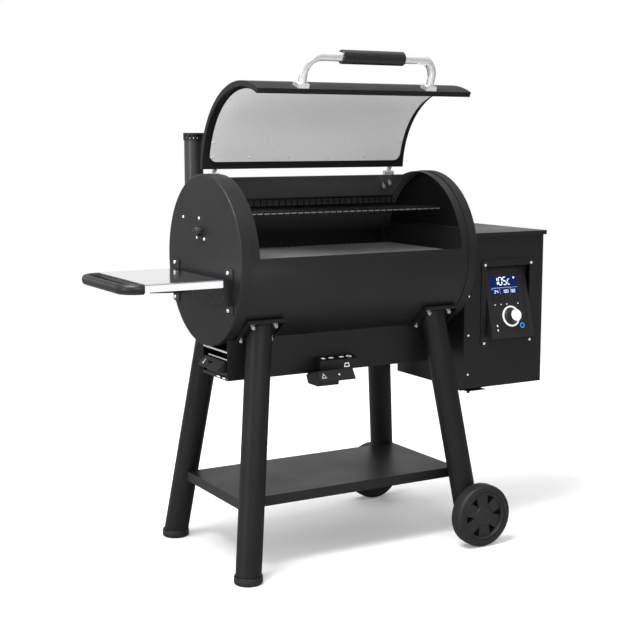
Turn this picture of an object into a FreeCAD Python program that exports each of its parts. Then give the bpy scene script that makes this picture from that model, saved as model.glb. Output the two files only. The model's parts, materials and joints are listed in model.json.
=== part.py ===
import FreeCAD, Part
import math
import os
import re

import Sketcher
from FreeCAD import Placement, Rotation, Vector

# Wood-pellet barrel grill on four splayed legs. Millimetres; X runs along the barrel towards the hopper,
# Y to the back, Z up. The origin is on the floor, under the middle of the barrel.
# Angles round the barrel are measured from the front, upwards.
SIZES = {
    # cooking chamber
    "axis_height": 884, "barrel_radius": 244.5, "barrel_skin": 1.6, "barrel_half": 392,
    "cap_face": 396, "cap_radius": 246.5, "cap_skirt": 32, "cap_rim": 5, "cap_sheet": 2,
    "mouth_half": 338, "mouth_front": 5, "mouth_sweep": 103, "mouth_corner": 3,
    "shield_face": 389, "shield_top": 960, "shield_radius": 240,
    "grate_top": 892, "grate_bar": 7, "grate_depth": 12, "grate_pitch": 17, "grate_half": 212,
    "grate_length": 374, "grate_bars": 22,
    "rack_floor": 1020, "rack_front": -115, "rack_back": 160, "rack_half": 348, "rack_wire": 4,
    "rack_pitch": 21.75, "rack_fence": 1047, "rack_bays": 32,
    "tray_height": 762, "tray_half": 368, "tray_depth": 192, "tray_tilt": 1.8,
    "probe_y": 16, "probe_z": 966, "probe_plug": 14.5, "probe_reach": 20,
    # lid
    "hinge_y": 112, "hinge_z": 1121.5, "lid_open": 65.4, "hinge_x": 306, "hinge_width": 34,
    "lid_radius": 262, "lid_inner": 247, "lid_half": 350.5, "lid_sheet": 1.6, "lid_front": 0,
    "lid_sweep": 111, "frame_corner": 24,
    "frame_half": 333, "frame_front": 6, "frame_sweep": 100.2, "frame_lip": 240.5, "frame_sheet": 1.5,
    "handle_x": 210, "handle_angle": 4, "handle_reach": 348, "handle_tube": 13, "handle_bend": 48,
    "grip_half": 101, "grip_radius": 19.5, "foot_width": 34, "pin_radius": 4, "pin_play": 0.05,
    "knuckle_radius": 7,
    # stand
    "leg_radius": 37, "leg_wall": 1.6, "leg_foot_x": 387, "leg_foot_y": 253, "leg_top_x": 303,
    "leg_top_y": 163, "leg_top_z": 650, "saddle_angle": 39.7, "saddle_width": 116, "saddle_low": 50,
    "saddle_high": 54, "saddle_sheet": 3, "saddle_lip": 12, "saddle_x": 297,
    "foot_radius": 41, "foot_height": 22, "foot_sole": 4, "right_leg_end": 58,
    "wheel_radius": 95.6, "wheel_x": 378, "wheel_inner": 282, "tyre_width": 48, "rim_radius": 74,
    "axle_radius": 6, "axle_half": 320, "axle_inner": 190, "axle_nut": 10, "axle_play": 0.06,
    "shelf_half_x": 375, "shelf_half_y": 182, "shelf_top": 219, "shelf_lip": 30, "shelf_sheet": 1.6,
    # burner
    "trough_left": -375, "trough_right": 330, "trough_half": 110, "trough_back": 55,
    "trough_floor": 548, "trough_sheet": 2,
    "trough_raise": 7,
    "pot_x": -75, "pot_half": 45, "pot_top": 650, "pot_floor": 557.2, "pot_sheet": 3,
    "auger_height": 608, "auger_tube": 25, "auger_bore": 23.4, "auger_end": 470, "auger_flight": 22.6,
    "auger_shaft": 7, "auger_pitch": 42,
    "hood_left": -94, "hood_right": 35, "cup_left": -126, "cup_right": -56,
    "drawer_front": -99, "drawer_back": 35, "drawer_length": 172,
    # hopper
    "hopper_left": 403, "hopper_right": 708, "hopper_front": -174, "hopper_back": 196,
    "hopper_floor": 458, "hopper_top": 939.4, "hopper_sheet": 1.6,
    "bin_top": 905, "bin_front": -100, "bin_back": 188, "throat_x": 450, "throat_half": 20,
    "lid_left": 397.6, "lid_right": 716, "lid_edge": 929, "lid_plate": 942, "hatch_front": -184,
    "hatch_pin_y": 203, "hatch_pin_z": 927, "hatch_pin": 3,
    "slide_left": 414, "slide_right": 484, "slide_floor": 451, "slide_sheet": 2.4,
    "bezel_x": 568, "bezel_z": 722, "bezel_width": 206, "bezel_height": 270, "bezel_sheet": 3,
    "window_x": 569.5, "window_z": 729, "window_width": 170, "window_height": 214,
    "panel_x": 572, "panel_y": -177, "panel_z": 724, "panel_tilt": 15.5, "panel_width": 164,
    "panel_height": 232, "panel_recess": 4, "face_width": 131, "face_height": 188, "face_low": -97,
    "display_x": 563.5, "display_t": 51.5, "display_width": 109, "display_height": 59,
    "button_t": 8.5, "button_radius": 5.5, "dial_x": 575.4, "dial_t": -47.5, "dial_radius": 27,
    "dial_height": 30, "power_x": 614, "power_t": -79, "power_radius": 5,
    # chimney
    "flue_x": -289, "flue_y": 290, "flue_radius": 29, "flue_wall": 1.5, "flue_bore": 25.5, "flue_port": 960,
    "flue_top": 1228, "flue_cap": 1246, "flue_slots": 16,
    # side shelf
    "table_right": -424, "table_left": -652, "table_front": -190, "table_back": 171, "table_top": 848,
    "table_lip": 22, "table_sheet": 1.6, "rail_left": -716, "rail_height": 28, "rail_corner": 58,
    "rail_bar": 22, "slot_corner": 28, "arm_inset": 2, "flange_low": 748, "flange_high": 876,
    "flange_width": 44, "flange_sheet": 3,
}

DOC = FreeCAD.newDocument("pellet_grill")
SHEET = DOC.addObject("Spreadsheet::Sheet", "Sizes")
PARTS = []
UP_FROM_FRONT = Rotation(Vector(0, -1, 0), Vector(0, 0, 1), Vector(-1, 0, 0), "ZXY")
ALONG = {"x": Rotation(Vector(0, 1, 0), 90), "y": Rotation(Vector(1, 0, 0), -90), "z": Rotation()}


def fill_sheet():
    for row, (alias, number) in enumerate(SIZES.items(), 1):
        SHEET.set("A%d" % row, alias)
        SHEET.set("B%d" % row, str(number))
        SHEET.setAlias("B%d" % row, alias)
    DOC.recompute()


def size(alias):
    return float(SHEET.get(alias))


def number(value):
    return size(value) if isinstance(value, str) else float(value)


def formula(text):
    def from_sheet(word):
        return "Sizes." + word.group() if word.group() in SIZES else word.group()
    return re.sub(r"[a-z]\w*", from_sheet, str(text))


def bind(thing, **properties):
    for name, text in properties.items():
        thing.setExpression(name, formula(text))


def place(thing, at, turn=None):
    thing.Placement = Placement(Vector(), turn or Rotation())
    for axis, text in zip("xyz", at):
        thing.setExpression("Placement.Base." + axis, formula(text))
    return thing


def box(name, low, high):
    solid = DOC.addObject("Part::Box", name)
    spans = ["(%s) - (%s)" % (end, start) for start, end in zip(low, high)]
    bind(solid, Length=spans[0], Width=spans[1], Height=spans[2])
    return place(solid, low)


def rod(name, axis, radius, low, high, across):
    """A cylinder along one axis from low to high; across gives the two other coordinates, in order."""
    solid = DOC.addObject("Part::Cylinder", name)
    bind(solid, Radius=radius, Height="(%s) - (%s)" % (high, low))
    at = list(across)
    at.insert("xyz".index(axis), low)
    return place(solid, at, ALONG[axis])


def drum(name, radius, low, high, start=0, sweep=360):
    """A cylinder, or a slice of one, about the barrel's axis."""
    solid = DOC.addObject("Part::Cylinder", name)
    bind(solid, Radius=radius, Height="(%s) - (%s)" % (high, low), Angle=sweep)
    turn = UP_FROM_FRONT.multiply(Rotation(Vector(0, 0, 1), number(start)))
    return place(solid, (high, 0, "axis_height"), turn)


def cut(name, base, *tools):
    for index, tool in enumerate(tools):
        last = index == len(tools) - 1
        step = DOC.addObject("Part::Cut", name if last else "%s_cut_%d" % (name, index))
        step.Base, step.Tool = base, tool
        base = step
    return base


def fuse(name, *solids):
    joined = DOC.addObject("Part::MultiFuse", name)
    joined.Shapes = list(solids)
    joined.Refine = True
    return joined


def ring(name, outer, inner, low, high, start=0, sweep=360):
    shell = drum(name + "_outer", outer, low, high, start, sweep)
    core = drum(name + "_core", inner, "(%s) - 1" % low, "(%s) + 1" % high)
    return cut(name, shell, core)


def round_edges(name, base, radius, wanted):
    DOC.recompute()
    rounded = DOC.addObject("Part::Fillet", name)
    rounded.Base = base
    picked = [i for i, edge in enumerate(base.Shape.Edges, 1) if wanted(edge)]
    rounded.Edges = [(i, number(radius), number(radius)) for i in picked]
    return rounded


def round_sector(name, base, radius):
    """Rounds the four corners of a curved sheet that lies on the barrel."""
    return round_edges(name, base, radius, lambda edge: (
        isinstance(edge.Curve, Part.Line) and abs(edge.tangentAt(0).x) < 0.5))


def fixed_shape(name, shape, placement=None):
    made = DOC.addObject("Part::Feature", name)
    made.Shape = shape
    made.Placement = placement or Placement()
    return made


def prism(points, low, high, axis="x"):
    """A profile of (y, z) points swept along X, or of (x, z) points swept along Y."""
    if axis == "x":
        corners, sweep = [Vector(low, *point) for point in points], Vector(high - low, 0, 0)
    else:
        corners, sweep = [Vector(x, low, z) for x, z in points], Vector(0, high - low, 0)
    return Part.Face(Part.makePolygon(corners + corners[:1])).extrude(sweep)


def part(thing):
    PARTS.append(thing)
    return thing


def round_point(angle, radius, x=0.0):
    """The point at an angle and radius about the barrel's axis."""
    turn = math.radians(angle)
    return Vector(x, -radius * math.cos(turn), size("axis_height") + radius * math.sin(turn))


def swung_open():
    """The turn about the lid hinge that takes the closed lid to its rest, the open position."""
    pivot = Vector(0, size("hinge_y"), size("hinge_z"))
    turn = Rotation(Vector(1, 0, 0), -size("lid_open"))
    return Placement(pivot - turn.multVec(pivot), turn)


def on_lid(thing):
    thing.Placement = swung_open().multiply(thing.Placement)
    return part(thing)


def is_round(edge, radius, x):
    return (isinstance(edge.Curve, Part.Circle) and abs(edge.Curve.Radius - radius) < 0.01
            and abs(edge.Curve.Center.x - x) < 0.01)


def bent_tube(points, bends, radius):
    """A round bar along straight runs joined by arcs; bends gives the radius at each inner point."""
    edges, start = [], points[0]
    for before, corner, after, bend in zip(points, points[1:], points[2:], bends):
        back, ahead = (before - corner).normalize(), (after - corner).normalize()
        half = back.getAngle(ahead) / 2
        reach = bend / math.tan(half)
        middle = (back + ahead).normalize() * (bend / math.sin(half) - bend)
        enter, leave = corner + back * reach, corner + ahead * reach
        edges += [Part.LineSegment(start, enter).toShape(),
                  Part.Arc(enter, corner + middle, leave).toShape()]
        start = leave
    edges.append(Part.LineSegment(start, points[-1]).toShape())
    path = Part.Wire(edges)
    outline = Part.Wire([Part.Circle(points[0], points[1] - points[0], radius).toShape()])
    return path.makePipeShell([outline], True, True)


# ---------------------------------------------------------------- sketched bodies

def origin_plane(body, role):
    return next(item for item in body.Origin.OriginFeatures if item.Role == role)


def sketch(body, name, height=0, shift=(0, 0)):
    drawing = body.newObject("Sketcher::SketchObject", name)
    drawing.AttachmentSupport = [(origin_plane(body, "XY_Plane"), "")]
    drawing.MapMode = "FlatFace"
    for axis, text in zip("xyz", (*shift, height)):
        drawing.setExpression("AttachmentOffset.Base." + axis, formula(text))
    return drawing


def circle(drawing, radius):
    index = drawing.addGeometry(Part.Circle(Vector(), Vector(0, 0, 1), 10), False)
    drawing.addConstraint(Sketcher.Constraint("Coincident", index, 3, -1, 1))
    datum = drawing.addConstraint(Sketcher.Constraint("Radius", index, 10))
    drawing.setExpression("Constraints[%d]" % datum, formula(radius))


def rectangle(drawing, width, height):
    """A rectangle centred on the sketch's origin."""
    corners = [Vector(-5, -5), Vector(5, -5), Vector(5, 5), Vector(-5, 5)]
    first = drawing.GeometryCount
    for start, end in zip(corners, corners[1:] + corners[:1]):
        drawing.addGeometry(Part.LineSegment(start, end), False)
    for side in range(4):
        following = first + (side + 1) % 4
        drawing.addConstraint(Sketcher.Constraint("Coincident", first + side, 2, following, 1))
        level = "Horizontal" if side % 2 == 0 else "Vertical"
        drawing.addConstraint(Sketcher.Constraint(level, first + side))
    drawing.addConstraint(Sketcher.Constraint("Symmetric", first, 1, first + 2, 1, -1, 1))
    for side, kind, text in ((0, "DistanceX", width), (1, "DistanceY", height)):
        datum = drawing.addConstraint(Sketcher.Constraint(kind, first + side, 1, first + side, 2, 10))
        drawing.setExpression("Constraints[%d]" % datum, formula(text))


def pad(body, drawing, length):
    feature = body.newObject("PartDesign::Pad", drawing.Name + "_pad")
    feature.Profile = drawing
    feature.setExpression("Length", formula(length))
    return feature


def pocket(body, drawing, depth):
    """Cuts from the sketch's plane upwards along the body's own Z."""
    feature = body.newObject("PartDesign::Pocket", drawing.Name + "_pocket")
    feature.Profile = drawing
    feature.Reversed = True
    feature.setExpression("Length", formula(depth))
    return feature


def repeat_round(body, feature, count):
    pattern = body.newObject("PartDesign::PolarPattern", feature.Name + "_round")
    pattern.Originals = [feature]
    pattern.Axis = (next(i for i in body.Origin.OriginFeatures if i.Role == "Z_Axis"), [""])
    pattern.Angle = 360
    pattern.Occurrences = count
    body.Tip = pattern
    return pattern


def soften(body, radius, wanted):
    DOC.recompute()
    base = body.Tip
    names = ["Edge%d" % i for i, edge in enumerate(base.Shape.Edges, 1) if wanted(edge)]
    feature = body.newObject("PartDesign::Fillet", body.Name + "_round")
    feature.Base = (base, names)
    feature.Radius = radius
    return feature


# ---------------------------------------------------------------- cooking chamber

def barrel_shell():
    inner = "barrel_radius - barrel_skin"
    wall = ring("barrel_wall", "barrel_radius", inner, "-barrel_half", "barrel_half")
    mouth = ring("barrel_mouth", 300, 150, "-mouth_half", "mouth_half", "mouth_front", "mouth_sweep")
    corners = round_sector("barrel_mouth_round", mouth, "mouth_corner")
    low = "axis_height - barrel_radius - 5"
    pot_port = box("pot_port", ("pot_x - pot_half - 2", "-pot_half - 2", low),
                   ("pot_x + pot_half + 2", "pot_half + 2", "axis_height - 200"))
    drip_port = box("drip_port", ("trough_left + 20", "drawer_front + 20", low),
                    ("trough_left + 110", "drawer_back - 20", "axis_height - 150"))
    flue_port = rod("flue_port_tool", "y", "flue_bore", 180, 262, ("flue_x", "flue_port"))
    return part(cut("barrel_shell", wall, corners, pot_port, drip_port, flue_port))


def end_caps():
    for side, sign in (("left", -1), ("right", 1)):
        faces = {-1: ("-cap_face", "cap_skirt - cap_face"), 1: ("cap_face - cap_skirt", "cap_face")}[sign]
        disc = drum(side + "_cap_disc", "cap_radius", *faces)
        rounded = round_edges(side + "_cap_rounded", disc, "cap_rim",
                              lambda edge: is_round(edge, size("cap_radius"), sign * size("cap_face")))
        reach = {-1: ("cap_sheet - cap_face", 0), 1: (0, "cap_face - cap_sheet")}[sign]
        hollow = drum(side + "_cap_hollow", "barrel_radius + 0.1", *reach)
        tools = [hollow]
        if sign < 0:
            tools.append(rod("probe_hole", "x", 4, "-cap_face - 1", -380, ("probe_y", "probe_z")))
        part(cut(side + "_end_cap", rounded, *tools))


def grate_supports():
    above = box("shield_trim", (-400, -260, "shield_top"), (400, 260, 1200))
    pieces = []
    for sign in (-1, 1):
        ends = sorted((sign * size("shield_face"), sign * (size("shield_face") + 1.5)))
        plate = drum("shield_%d" % (sign + 1), "shield_radius", *ends)
        pieces.append(cut("shield_cut_%d" % (sign + 1), plate, above))
        edge = sorted((sign * 212.0, sign * 241.0))
        under = "grate_top - grate_depth"
        pieces.append(box("grate_ledge_%d" % (sign + 1), ("-shield_face", edge[0], under + " - 3"),
                          ("shield_face", edge[1], under)))
    return part(fuse("grate_supports", *pieces))


def cooking_grates():
    for side, start in (("left", "-grate_length - 1.5"), ("right", "1.5")):
        low = "grate_top - grate_depth"
        bars = []
        for index in range(int(size("grate_bars"))):
            left = "%s + %d * grate_pitch + 4" % (start, index)
            bars.append(box("%s_bar_%d" % (side, index), (left, "-grate_half", low),
                            ("%s + grate_bar" % left, "grate_half", "grate_top")))
        for index, middle in enumerate((-207, 0, 207)):
            bars.append(box("%s_cross_%d" % (side, index), (start, middle - 6, low),
                            ("%s + grate_length" % start, middle + 6, "grate_top - 4")))
        part(fuse("cooking_grate_" + side, *bars))


def warming_rack():
    wires = []
    floor = "rack_floor"
    for index in range(int(size("rack_bays")) + 1):
        left = "%d * rack_pitch - rack_half" % index
        right = "%s + rack_wire" % left
        wires.append(box("rack_wire_%d" % index, (left, "rack_front", floor),
                         (right, "rack_back", "rack_floor + 4")))
        wires.append(box("rack_post_%d" % index, (left, "rack_back - rack_wire", floor),
                         (right, "rack_back", "rack_fence")))
    left, right = "-rack_half", "rack_half + rack_wire"
    rails = (("rack_front", floor), ("rack_back - 4", floor), ("rack_back - 4", "rack_fence - 4"),
             ("20", floor))
    for index, (y, z) in enumerate(rails):
        wires.append(box("rack_rail_%d" % index, (left, y, z), (right, "%s + 4" % y, "%s + 4" % z)))
    for index, y in enumerate((-60, 120)):
        wires.append(box("rack_lug_%d" % index, ("cap_sheet - cap_face", y, "rack_floor - 4"),
                         ("cap_face - cap_sheet", y + 8, floor)))
    return part(fuse("warming_rack", *wires))


def grease_tray():
    plate = box("tray_plate", ("-tray_half", "-tray_depth", 0), ("tray_half", "tray_depth", 2))
    lips = [box("tray_lip_%d" % i, ("-tray_half", y, 0), ("tray_half", "%s + 2" % y, 14))
            for i, y in enumerate(("-tray_depth", "tray_depth - 2"))]
    lips.append(box("tray_back_lip", ("tray_half - 2", "-tray_depth", 0), ("tray_half", "tray_depth", 14)))
    tray = part(fuse("grease_tray", plate, *lips))
    tilt = Rotation(Vector(0, 1, 0), -size("tray_tilt"))
    tray.Placement = Placement(Vector(0, 0, size("tray_height")), tilt)


def temperature_probe():
    stem = rod("probe_stem", "x", 4, "-cap_face", -300, ("probe_y", "probe_z"))
    plug = rod("probe_plug_disc", "x", "probe_plug", "-cap_face - probe_reach", "-cap_face",
               ("probe_y", "probe_z"))
    return part(fuse("temperature_probe", stem, plug))


def chimney():
    inner, at, port = "flue_radius - flue_wall", ("flue_x", "flue_y"), ("flue_x", "flue_port")
    floor = "flue_port - flue_radius - 5"
    pipe = rod("flue_pipe", "z", "flue_radius", floor, "flue_top", at)
    elbow = rod("flue_elbow", "y", "flue_bore + flue_wall", 225, "flue_y", port)
    saddle = ring("flue_saddle", "barrel_radius + 3", "barrel_radius - 6", "flue_x - 46", "flue_x + 46",
                  151, 22)
    bore = rod("flue_room", "z", inner, floor + " + 2", "flue_top + 1", at)
    port_bore = rod("flue_port_bore", "y", "flue_bore", 200, "flue_y", port)
    barrel = drum("flue_barrel", "barrel_radius + 0.05", "flue_x - 60", "flue_x + 60")
    part(cut("chimney_pipe", fuse("flue_body", pipe, elbow, saddle), bore, port_bore, barrel))
    skirt = rod("flue_skirt", "z", "flue_radius + 2.5", "flue_top - 4", "flue_cap", at)
    hollow = rod("flue_hollow", "z", "flue_radius + 0.1", "flue_top - 5", "flue_cap - 2", at)
    slots = []
    for index in range(int(size("flue_slots")) // 2):
        slot = DOC.addObject("Part::Box", "flue_slot_%d" % index)
        bind(slot, Length=80, Width=4.5, Height="flue_cap - flue_top - 6")
        turn = Rotation(Vector(0, 0, 1), index * 360.0 / size("flue_slots"))
        middle = Vector(size("flue_x"), size("flue_y"), size("flue_top") + 1)
        slot.Placement = Placement(middle - turn.multVec(Vector(40, 2.25, 0)), turn)
        slots.append(slot)
    baffle = rod("flue_baffle", "z", 21.5, "flue_top + 4", "flue_cap - 1", at)
    baffle_bore = rod("flue_baffle_bore", "z", 20, "flue_top + 3", "flue_cap - 2", at)
    shell = cut("flue_cap_shell", skirt, hollow, *slots)
    part(fuse("chimney_cap", shell, cut("flue_baffle_ring", baffle, baffle_bore)))


# ---------------------------------------------------------------- lid

def lid():
    skin = ring("lid_sheet_skin", "lid_radius", "lid_inner", "-lid_half", "lid_half",
                "lid_front", "lid_sweep")
    edge = math.degrees(size("lid_sheet") / size("lid_radius"))
    inside = ("lid_sheet - lid_half", "lid_half - lid_sheet")
    arc = (size("lid_front") + edge, size("lid_sweep") - 2 * edge)
    room = drum("lid_room", "lid_radius - lid_sheet", *inside, *arc)
    on_lid(cut("lid_skin", skin, room))
    start, sweep = size("frame_front"), size("frame_sweep")
    thin = math.degrees(size("frame_sheet") / size("lid_inner"))
    within, span = (start + thin, sweep - 2 * thin), ("frame_sheet - frame_half", "frame_half - frame_sheet")
    hem = ring("frame_hem", "lid_inner + frame_sheet", "lid_inner", *inside, *arc)
    wall = ring("frame_wall", "lid_inner + frame_sheet", "frame_lip", "-frame_half", "frame_half",
                start, sweep)
    wall = round_sector("frame_wall_round", wall, "frame_corner")
    hole = ring("frame_hole", 270, 150, *span, *within)
    corner = size("frame_corner") - size("frame_sheet")
    hole = round_sector("frame_hole_round", hole, corner)
    on_lid(cut("lid_frame", fuse("frame_body", hem, wall), hole))
    sheet = ring("liner_sheet", "frame_lip + 2", "frame_lip + 0.5", *span, *within)
    on_lid(round_sector("lid_liner", sheet, corner))


def handle():
    angle, tube = size("handle_angle"), size("handle_tube")
    base, reach, x = size("lid_radius") + 2, size("handle_reach"), size("handle_x")
    points = [round_point(angle, base, -x), round_point(angle, reach, -x),
              round_point(angle, reach, x), round_point(angle, base, x)]
    bar = bent_tube(points, [size("handle_bend")] * 2, tube)
    feet = []
    for sign in (-1, 1):
        foot = Part.makeBox(size("foot_width"), size("foot_width"), 14)
        turn = Rotation(Vector(1, 0, 0), 90 - angle)
        middle = round_point(angle, size("lid_radius") - 2, sign * x)
        half = size("foot_width") / 2
        foot.Placement = Placement(middle + turn.multVec(Vector(-half, -half, 0)), turn)
        feet.append(foot.cut(about_axis(size("lid_radius") + 0.1)))
    on_lid(fixed_shape("lid_handle_tube", bar.fuse(feet).removeSplitter()))
    centre = round_point(angle, reach)
    half = size("grip_half")
    grip = Part.makeCylinder(size("grip_radius"), 2 * half, centre - Vector(half, 0, 0), Vector(1, 0, 0))
    grip = grip.makeFillet(2.5, [edge for edge in grip.Edges if isinstance(edge.Curve, Part.Circle)])
    bore = Part.makeCylinder(tube, 900, centre - Vector(450, 0, 0), Vector(1, 0, 0))
    on_lid(fixed_shape("lid_handle_grip", grip.cut(bore)))


def about_axis(radius, low=-450.0, high=450.0):
    """A cylinder about the barrel's axis, from low to high along X."""
    return Part.makeCylinder(radius, high - low, Vector(low, 0, size("axis_height")), Vector(1, 0, 0))


def hinges():
    """Each hinge: a strap on the barrel with two knuckles and the pin, and the lid's knuckle between."""
    pivot = Vector(0, size("hinge_y"), size("hinge_z"))
    width, third = size("hinge_width"), size("hinge_width") / 3
    ears, leaves, side_x = [], [], Vector(1, 0, 0)
    for sign in (-1, 1):
        left = pivot + side_x * (sign * size("hinge_x") - width / 2)
        strap = about_axis(size("barrel_radius") + 2.5, left.x, left.x + width)
        strap = strap.cut(about_axis(size("barrel_radius") + 0.1))
        strap = strap.common(slice_box(left.x, width, 113.5, 128))
        pieces = [strap, Part.makeCylinder(size("pin_radius"), width, left, side_x)]
        for shift in (0, 2 * third + 0.4):
            start = left + side_x * shift
            pieces.append(Part.makeCylinder(size("knuckle_radius"), third - 0.4, start, side_x))
            web = Part.makeBox(third - 0.4, 5, 16, left + Vector(shift, 1, -16))
            pieces.append(web.cut(about_axis(size("barrel_radius") + 0.1)))
        ears.append(pieces[0].fuse(pieces[1:]).removeSplitter())
        ears += hinge_bolts(left.x + width / 2)
        leaves.append(hinge_leaf(left + side_x * third, third))
    part(fixed_shape("lid_hinge_brackets", Part.makeCompound(ears)))
    on_lid(fixed_shape("lid_hinge_leaves", Part.makeCompound(leaves)))


def slice_box(left, width, low, high):
    """A wedge that keeps what lies between two angles round the barrel."""
    corners = [round_point(low, 0, left), round_point(low, 400, left), round_point(high, 400, left)]
    return Part.Face(Part.makePolygon(corners + corners[:1])).extrude(Vector(width, 0, 0))


def hinge_bolts(x):
    """Two carriage bolts through the barrel's wall, with their nuts on the inside."""
    bolts = []
    for angle, shift in ((118.5, 5), (123.5, -6)):
        outer, inner = size("barrel_radius") + 2.5, size("barrel_radius") - size("barrel_skin")
        inward = (round_point(angle, 0) - round_point(angle, 100)).normalize()
        head = Part.makeCylinder(6, 3, round_point(angle, outer + 3, x + shift), inward)
        nut = Part.makeCylinder(6.5, 6, round_point(angle, inner - 6, x + shift), inward)
        shank = Part.makeCylinder(3.5, 18, round_point(angle, inner, x + shift), inward)
        bolts += [head, nut.fuse(shank).removeSplitter()]
    return bolts


def hinge_leaf(start, length):
    """The lid's knuckle and the tab that joins it to the lid's rear rim, drawn with the lid closed."""
    side_x, gap, radius = Vector(1, 0, 0), 0.4, size("knuckle_radius")
    left = start.x + gap
    knuckle = Part.makeCylinder(radius, length - 2 * gap, start + side_x * gap, side_x)
    rear = size("lid_front") + size("lid_sweep")
    corner = Vector(left, size("hinge_y"), size("hinge_z"))
    points = [round_point(rear, size("lid_radius") - 1, left), corner + Vector(0, 0, radius - 0.5), corner,
              round_point(rear, size("lid_inner") + 3, left)]
    tab = Part.Face(Part.makePolygon(points + points[:1])).extrude(Vector(length - 2 * gap, 0, 0))
    bore = Part.makeCylinder(size("pin_radius") + size("pin_play"), length, start, side_x)
    return knuckle.fuse(tab).removeSplitter().cut(bore)


# ---------------------------------------------------------------- stand

def leg_line(sign_x, sign_y):
    foot = Vector(sign_x * size("leg_foot_x"), sign_y * size("leg_foot_y"), 0)
    top = Vector(sign_x * size("leg_top_x"), sign_y * size("leg_top_y"), size("leg_top_z"))
    return foot, (top - foot).normalize()


def saddle_frame(sign_x, sign_y):
    """The frame of a leg's saddle plate: Z away from the barrel, Y along the barrel's surface, upwards."""
    angle = math.radians(size("saddle_angle"))
    out = Vector(0, sign_y * math.sin(angle), -math.cos(angle))
    up = Vector(0, sign_y * math.cos(angle), math.sin(angle))
    side = up.cross(out)
    origin = Vector(sign_x * size("saddle_x"), 0, size("axis_height")) + out * (size("barrel_radius") + 0.2)
    return Placement(origin, Rotation(side, up, out, "ZXY"))


def legs():
    corners = (("front_left", -1, -1), ("rear_left", -1, 1), ("front_right", 1, -1), ("rear_right", 1, 1))
    for name, sign_x, sign_y in corners:
        foot, direction = leg_line(sign_x, sign_y)
        start = foot - direction * 40
        tube = Part.makeCylinder(size("leg_radius"), 860, start, direction)
        tube = tube.cut(Part.makeCylinder(size("leg_radius") - size("leg_wall"), 860, start, direction))
        end = size("foot_sole") if sign_x < 0 else size("right_leg_end")
        tube = tube.cut(Part.makeBox(600, 600, 200, Vector(foot.x - 300, foot.y - 300, end - 200)))
        above = Part.makeBox(600, 600, 600, Vector(-300, -300, size("saddle_sheet") - 600))
        above.Placement = saddle_frame(sign_x, sign_y)
        tube = tube.cut(above)
        if sign_x > 0:
            start = Vector(size("wheel_x"), -400, size("wheel_radius"))
            tube = tube.cut(Part.makeCylinder(size("axle_radius") + 0.1, 800, start, Vector(0, 1, 0)))
        part(fixed_shape(name + "_leg", max(tube.Solids, key=lambda solid: solid.Volume)))


def leg_brackets():
    plates = []
    for sign_x in (-1, 1):
        for sign_y in (-1, 1):
            half, sheet, lip = size("saddle_width") / 2, size("saddle_sheet"), size("saddle_lip")
            low, high = size("saddle_low"), size("saddle_high")
            plate = Part.makeBox(2 * half, low + high, sheet, Vector(-half, -low, 0))
            top = Part.makeBox(2 * half, sheet, lip, Vector(-half, high - sheet, 0))
            sides = [Part.makeBox(sheet, low + high, lip, Vector(x, -low, 0)) for x in (-half, half - sheet)]
            plate = plate.fuse([top] + sides).removeSplitter()
            plate.Placement = saddle_frame(sign_x, sign_y)
            plates.append(plate)
    return part(fixed_shape("leg_brackets", Part.makeCompound(plates)))


def leg_feet():
    caps = []
    for sign_y in (-1, 1):
        foot, direction = leg_line(-1, sign_y)
        middle = foot + direction * (size("foot_height") / 2)
        cap = Part.makeCylinder(size("foot_radius"), size("foot_height"), Vector(middle.x, middle.y, 0))
        cap = cap.makeChamfer(2, [edge for edge in cap.Edges if isinstance(edge.Curve, Part.Circle)])
        socket = Part.makeCylinder(size("leg_radius") + 0.1, 200, foot - direction * 60, direction)
        floor = Part.makeBox(200, 200, 100, Vector(foot.x - 100, foot.y - 100, size("foot_sole") - 100))
        caps.append(cap.cut(socket.cut(floor)))
    return part(fixed_shape("leg_feet", Part.makeCompound(caps)))


def wheel(side, sign):
    """Tyre and hub, drawn with the wheel's outer side upwards and turned onto the axle."""
    turn = Rotation(Vector(1, 0, 0), -90 * sign)
    base = Placement(Vector(size("wheel_x"), sign * size("wheel_inner"), size("wheel_radius")), turn)
    tyre = DOC.addObject("PartDesign::Body", side + "_tyre")
    drawing = sketch(tyre, side + "_tyre_disc")
    circle(drawing, "wheel_radius")
    circle(drawing, "rim_radius")
    pad(tyre, drawing, "tyre_width")
    soften(tyre, 6, lambda edge: is_outer_circle(edge, size("wheel_radius")))
    tyre.Placement = base
    part(tyre)
    hub = DOC.addObject("PartDesign::Body", side + "_hub")
    disc = sketch(hub, side + "_hub_disc", 2)
    circle(disc, "rim_radius")
    pad(hub, disc, "tyre_width - 4")
    for name, height, inner in (("face", "tyre_width - 9", 27), ("back", 2, 20)):
        dish = sketch(hub, "%s_hub_%s" % (side, name), height)
        circle(dish, 64)
        circle(dish, inner)
        pocket(hub, dish, 20 if name == "back" else 10)
    window = sketch(hub, side + "_hub_window", 0, (0, 50))
    rectangle(window, 22, 20)
    opening = pocket(hub, window, 60)
    repeat_round(hub, opening, 6)
    bore = sketch(hub, side + "_hub_bore", 0)
    circle(bore, "axle_radius + axle_play")
    pocket(hub, bore, "axle_half - wheel_inner + 1")
    hub.Placement = base
    part(hub)


def is_outer_circle(edge, radius):
    return isinstance(edge.Curve, Part.Circle) and abs(edge.Curve.Radius - radius) < 0.01


def wheels():
    wheel("front", -1)
    wheel("rear", 1)
    centre = ("wheel_x", "wheel_radius")
    part(fuse("wheel_axle",
              rod("front_stub", "y", "axle_radius", "-axle_half", "-axle_inner", centre),
              rod("front_nut", "y", "axle_nut", "-axle_inner - 9", "-axle_inner", centre),
              rod("rear_stub", "y", "axle_radius", "axle_inner", "axle_half", centre),
              rod("rear_nut", "y", "axle_nut", "axle_inner", "axle_inner + 9", centre)))


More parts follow.
